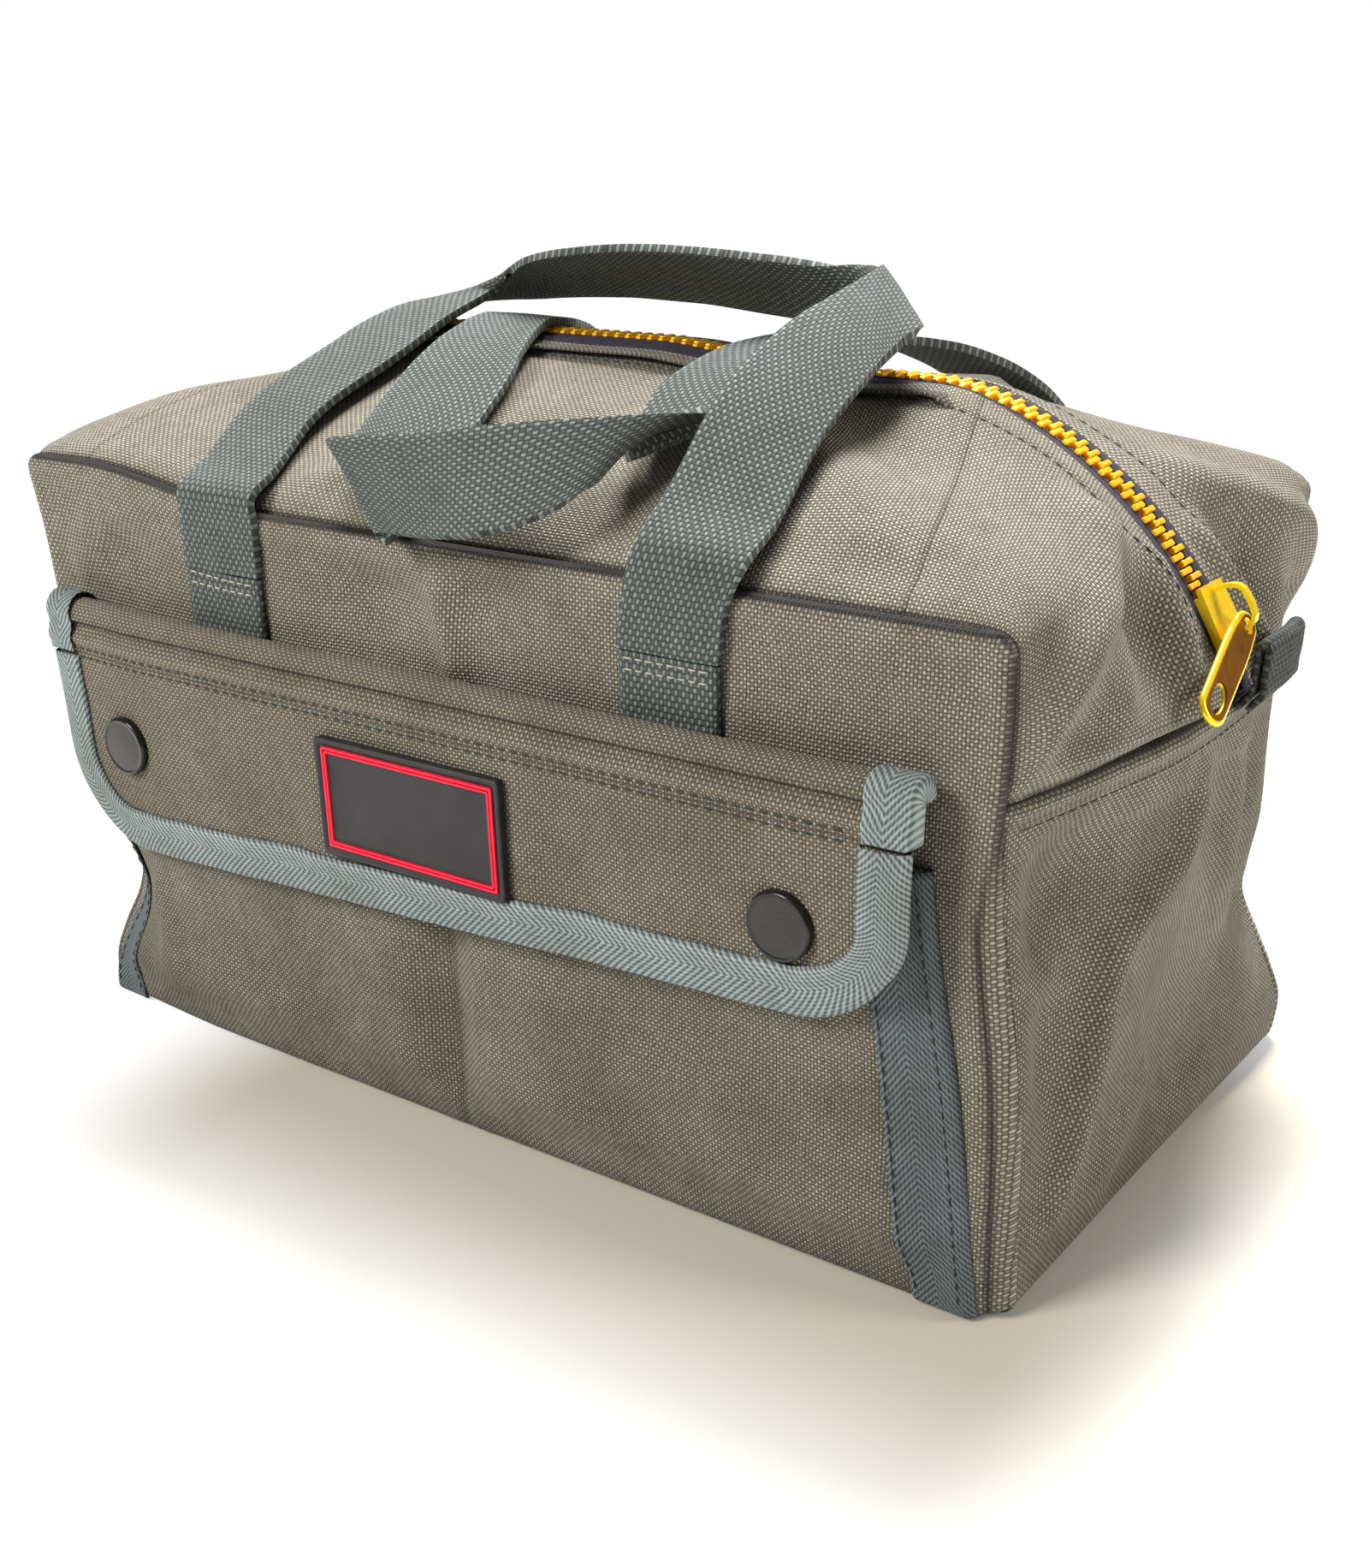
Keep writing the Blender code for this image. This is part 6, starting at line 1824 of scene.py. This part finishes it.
# The two rows through the head, as (height above its stitch line, body)
HEAD_ROWS = ((0.0012, "bag_body"), (-0.0011, "pocket_flap"))
ANCHOR_ROW_LEVELS = (HANDLE_STITCH - 0.0016, HANDLE_STITCH - 0.0040)
ANCHOR_BOX_HEIGHT = 0.052


def line_on(place, start, stop, count):
    """Places at equal steps between two pairs of values."""
    shares = [number / count for number in range(count + 1)]
    return [place(mix(start[0], stop[0], share), mix(start[1], stop[1], share)) for share in shares]


def flap_stitches():
    toward = Vector((0, -1, 0))
    inner = EDGE_BINDING_WIDTH - 0.0013
    places = []
    for x, height, way_x, way_z in flap_edge_path(FLAP_STITCH - 0.0012):
        places.append((flap_face(x + inner * way_x, height + inner * way_z, BINDING + GAP), toward))
    stitches("flap_tape_stitches", places, "black_thread", "pocket_flap", TIGHT_STITCH)

    def spot(x, height):
        return on_front(x, height, FLAP_FACE + head_bulge(height) + head_swell(x)), toward

    half = FLAP_HALF - EDGE_BINDING_WIDTH - 0.0006
    for number, (above, body) in enumerate(HEAD_ROWS):
        row = line_on(spot, (-half, FLAP_STITCH + above), (half, FLAP_STITCH + above), 120)
        stitches("head_stitches_%d" % number, row, "dark_thread", body)


def anchor_stitches(word, x, side, low):
    """Two rows across the webbing on the front, a crossed box on the back."""

    def spot(across, height):
        place = Vector((x + across, side * (face_depth(height) + GAP + WEBBING), height))
        return place, Vector((0, side, 0))

    half = WEBBING_WIDTH / 2 - ANCHOR_STITCH_INSET
    if side < 0:
        for number, level in enumerate(ANCHOR_ROW_LEVELS):
            row = line_on(spot, (-half - 0.001, level), (half + 0.001, level), 12)
            stitches("anchor_row_%s_%d" % (word, number), row, "light_thread", "bag_body", SHORT_STITCH)
        return
    bottom, high = low + ANCHOR_STITCH_INSET, min(HANDLE_STITCH - 0.003, low + ANCHOR_BOX_HEIGHT)
    a, b, c, d = (-half, bottom), (half, bottom), (half, high), (-half, high)
    for number, (start, stop) in enumerate(((a, b), (b, c), (c, d), (d, a), (a, c), (b, d))):
        row = line_on(spot, start, stop, 16)
        stitches("anchor_box_%s_%d" % (word, number), row, "dark_thread", "bag_body", TIGHT_STITCH)


def hem_stitches(word, stations, rows, body):
    """The row that holds the canvas hem to the zip tape, laid on the roof itself."""
    inner = HEM_STITCH_PLACE / ROOF_SPAN
    index = max(n for n, share in enumerate(DEPTH_SHARES) if share <= inner)
    part = (inner - DEPTH_SHARES[index]) / (DEPTH_SHARES[index + 1] - DEPTH_SHARES[index])
    places = []
    for (_, seam_share), row, line in zip(stations, rows, grid_normals(rows)):
        if seam_share <= HEM_STITCH_STOP:
            normal = line[index] if line[index].z > 0 else -line[index]
            places.append((row[index].lerp(row[index + 1], part), normal))
    stitches("hem_stitches_" + word, places, "dark_thread", body, FINE_STITCH)


def pocket_tape_stitches(word, side):
    for number, share in enumerate(TAPE_STITCH_SHARES):
        places = []
        for step in range(TAPE_STITCH_STEPS + 1):
            height = 0.004 + (POCKET_HEIGHT - 0.006) * step / TAPE_STITCH_STEPS
            x = pocket_half(height) - POCKET_SEAM_RUN * share
            stand = pocket_standoff(x, max(height, POCKET_BOTTOM)) + CANVAS + GAP + BINDING
            places.append((on_front(side * x, height, stand), Vector((0, -1, 0))))
        name = "pocket_tape_stitches_%s_%d" % (word, number)
        stitches(name, places, "black_thread", "bag_body", FINE_STITCH)


def end_seam_stitches(word, end):
    """The row along the ridge under the seam of an end panel."""
    level = END_SEAM_HEIGHT - 0.0056
    half = face_depth(level) - 0.007

    def spot(y, height):
        return Vector((end * (end_reach(y, height) + 0.00028), y, height)), Vector((end, 0, 0))

    row = line_on(spot, (-half, level), (half, level), 60)
    stitches("end_seam_stitches_" + word, row, "dark_thread", "bag_body", LONG_STITCH)


# Dress the bag

ENDS = (("right", 1), ("left", -1))
FACES = (("front", -1), ("back", 1))
TAPE_STATIONS = 42


def dress_roof(word, side):
    """One half of the roof with its shoulders, and its side of the zip."""
    body = "mouth_" + word
    stations, rows, (first_crease, last_crease) = roof_sheet(side)
    middle = slice(first_crease, last_crease + 1)
    roof_piece("roof_" + word, stations[middle], rows[middle], body, ("top_%s_half" % word,))
    hem_stitches(word, stations[middle], rows[middle], body)
    tape_piece("tape_" + word, mouth_stations(), side, body, ("zip_tape_" + word,))
    teeth_piece("teeth_" + word, -CREASE_RUN, CREASE_RUN, side, body, "zip_teeth_" + word)
    cord_piece("cord_" + word, GAP - CREASE_RUN, CREASE_RUN - GAP, side, body)
    for end_word, end in ENDS:
        place = "%s_%s" % (word, end_word)
        part = slice(last_crease, None) if end > 0 else slice(0, first_crease + 1)
        roof_piece("corner_" + place, stations[part], rows[part], "bag_body", ("shoulder_" + place,))
        hem_stitches(place, stations[part], rows[part], "bag_body")
        along_tape = shoulder_stations(end)[:TAPE_STATIONS]
        tape_piece("tape_" + place, along_tape, side, "bag_body", ("zip_tape_" + place,))
        first, last = sorted((end * CREASE_RUN, end * TEETH_RUN))
        teeth_piece("teeth_" + place, first, last, side, "bag_body", "zip_teeth_" + place)
        cord_piece("cord_" + place, first + GAP, last - GAP, side, "bag_body")
    stop_piece("stop_" + word, side, 1, "zip_top_stop_" + word)


def dress():
    wall("front_wall", -1)
    wall("back_wall", 1)
    end_wall("end_wall_right", 1)
    end_wall("end_wall_left", -1)
    base_panel()
    for word, side in FACES:
        dress_roof(word, side)
    stop_piece("stop_start", 0, -1, "zip_bottom_stop")
    polished_slider()
    pull_pieces()
    pocket()
    flap()
    flap_tape()
    flap_head()
    patch_pieces()
    for word, side in ENDS:
        x = side * HANDLE_SPACING / 2
        end_tab("tab_" + word, side, "zip_end_tab_" + word)
        zip_foot(word, side)
        pocket_tape("pocket_tape_" + word, side, "pocket_binding_" + word)
        head_tape("head_tape_" + word, side, "flap_head_binding_" + word)
        snap_pieces(word, side)
        anchor("front_anchor_" + word, x, -1, ANCHOR_BOTTOM, "front_handle_anchor_" + word)
        anchor("back_anchor_" + word, x, 1, BACK_ANCHOR_BOTTOM, "back_handle_anchor_" + word)
    handle("loop_front", FRONT_ROUTE_SHARES, "front_handle", "front_handle", 101)
    handle("loop_back", BACK_ROUTE_SHARES, "back_handle", "back_handle", 105)
    flap_stitches()
    for word, side in ENDS:
        x = side * HANDLE_SPACING / 2
        pocket_tape_stitches(word, side)
        end_seam_stitches(word, side)
        anchor_stitches("front_" + word, x, -1, ANCHOR_BOTTOM)
        anchor_stitches("back_" + word, x, 1, BACK_ANCHOR_BOTTOM)


dress()


# Camera, light and floor

SENSOR = 36
# Focal length and picture height in pixels, read from the photograph's perspective
FOCAL_PIXELS = 2228.4
PICTURE_PIXELS = 1832
CAMERA_PLACE = (0.2837, -0.3745, 0.2373)
CAMERA_RIGHT = Vector((0.8104, 0.5855, -0.0177))
CAMERA_AHEAD = Vector((-0.5546, 0.7572, -0.3451))
FLOOR_HALF = 4
FLOOR_LEVEL = -0.0002
# Lit colour of the floor and the colour of its glow; the glow is dimmed near the bag as a painted shadow
FLOOR_COLOUR = (0.46, 0.42, 0.32)
FLOOR_FILL = (0.60, 0.64, 0.74)
FLOOR_UNSEEN = (0.74, 0.73, 0.71)
# The bag's footprint on each axis: shift of its middle, half size, and how fast the painted shadow fades
# there
FOOTPRINT = (("X", -0.045, 0.098, 1.5), ("Y", 0.030, 0.055, 1.0))
# Reach of the painted shadow round the footprint, and the share of the glow left at its middle
SHADOW_RUN = 0.085
SHADOW_FILL = 0.10
WHITE_FROM, WHITE_TO = 0.20, 0.42
WORLD_LIGHT = 0.21
WHITE = (1, 1, 1)
# Name, place, aim, size, power and colour
LAMPS = (
    ("key", (-0.35, -0.95, 0.86), (0, 0, 0.08), 0.42, 18, (1.0, 0.98, 0.95)),
    ("top", (-0.12, 0.48, 1.05), (0, 0, 0.1), 0.45, 34, WHITE),
    ("side", (0.95, 0.26, 0.42), (0.1, 0, 0.07), 0.35, 5.6, (1.0, 0.96, 0.88)),
)


def camera():
    data = bpy.data.cameras.new("view")
    data.sensor_width = data.sensor_height = SENSOR
    data.sensor_fit = "AUTO"
    data.lens = FOCAL_PIXELS / PICTURE_PIXELS * SENSOR
    data.clip_start = 0.01
    item = add_item("view", data)
    ahead = CAMERA_AHEAD.normalized()
    right = (CAMERA_RIGHT - ahead * CAMERA_RIGHT.dot(ahead)).normalized()
    item.matrix_world = frame_at(CAMERA_PLACE, right, right.cross(ahead), -ahead)
    bpy.context.scene.camera = item


def lamp(name, place, aim, size, power, colour):
    data = bpy.data.lights.new(name, "AREA")
    data.shape = "SQUARE"
    data.size = size
    data.energy = power
    data.color = colour
    item = add_item(name, data)
    item.location = place
    item.rotation_euler = (Vector(aim) - Vector(place)).to_track_quat("-Z", "Y").to_euler()


def floor_material():
    """Keeps the bag's warm cast shadow where the camera sees it, adds a painted shadow by dimming the floor's
    glow near the bag, and runs out to plain white.
    """
    made = bpy.data.materials.new("pale_floor")
    made.use_nodes = True
    tree = made.node_tree
    tree.nodes.clear()
    place = add_node(tree, "TexCoord", output="Object")
    axes = add_node(tree, "SeparateXYZ", {0: place}).node.outputs
    beside = []
    for axis, shift, half, scale in FOOTPRINT:
        off = math_node(tree, "ABSOLUTE", math_node(tree, "ADD", axes[axis], shift))
        beyond = math_node(tree, "MAXIMUM", math_node(tree, "SUBTRACT", off, half), 0.0)
        beside.append(math_node(tree, "POWER", math_node(tree, "MULTIPLY", beyond, scale), 2.0))
    away = math_node(tree, "SQRT", math_node(tree, "ADD", *beside))
    # Painted shadow: the glow is weakest at the bag's footprint and rises to full strength away from it
    glow_dimmed_as_painted_shadow = map_range(tree, away, 0.0, SHADOW_RUN, SHADOW_FILL, 1.0, "SMOOTHSTEP")
    lit = add_node(tree, "BsdfDiffuse", {"Color": FLOOR_COLOUR})
    glow = add_node(tree, "Emission", {"Color": FLOOR_FILL, "Strength": glow_dimmed_as_painted_shadow})
    near = add_node(tree, "AddShader", {0: lit, 1: glow})
    white = add_node(tree, "Emission", {"Color": WHITE})
    length = add_node(tree, "VectorMath", {0: place}, "Value", operation="LENGTH")
    far = map_range(tree, length, WHITE_FROM, WHITE_TO, way="SMOOTHSTEP")
    seen = add_node(tree, "MixShader", {0: far, 1: near, 2: white})
    plain = add_node(tree, "BsdfDiffuse", {"Color": FLOOR_UNSEEN})
    straight = add_node(tree, "LightPath", output="Is Camera Ray")
    shown = add_node(tree, "MixShader", {0: straight, 1: plain, 2: seen})
    end = tree.nodes.new("ShaderNodeOutputMaterial")
    tree.links.new(shown, end.inputs[0])
    return made


def floor():
    mesh = bpy.data.meshes.new("floor")
    corners = ((-1, -1), (1, -1), (1, 1), (-1, 1))
    mesh.from_pydata([(x * FLOOR_HALF, y * FLOOR_HALF, FLOOR_LEVEL) for x, y in corners], [], [(0, 1, 2, 3)])
    mesh.materials.append(floor_material())
    add_item("floor", mesh)


def surroundings():
    """White where the camera looks past the floor, and a dimmer white as light."""
    world = bpy.data.worlds.new("studio")
    bpy.context.scene.world = world
    world.use_nodes = True
    tree = world.node_tree
    shade = tree.nodes["Background"]
    straight = add_node(tree, "LightPath", output="Is Camera Ray")
    level = math_node(tree, "MULTIPLY", straight, 1 - WORLD_LIGHT)
    tree.links.new(math_node(tree, "ADD", level, WORLD_LIGHT), shade.inputs["Strength"])
    shade.inputs["Color"].default_value = (*WHITE, 1)


camera()
for settings in LAMPS:
    lamp(*settings)
floor()
surroundings()
bpy.context.scene.view_settings.view_transform = "Standard"
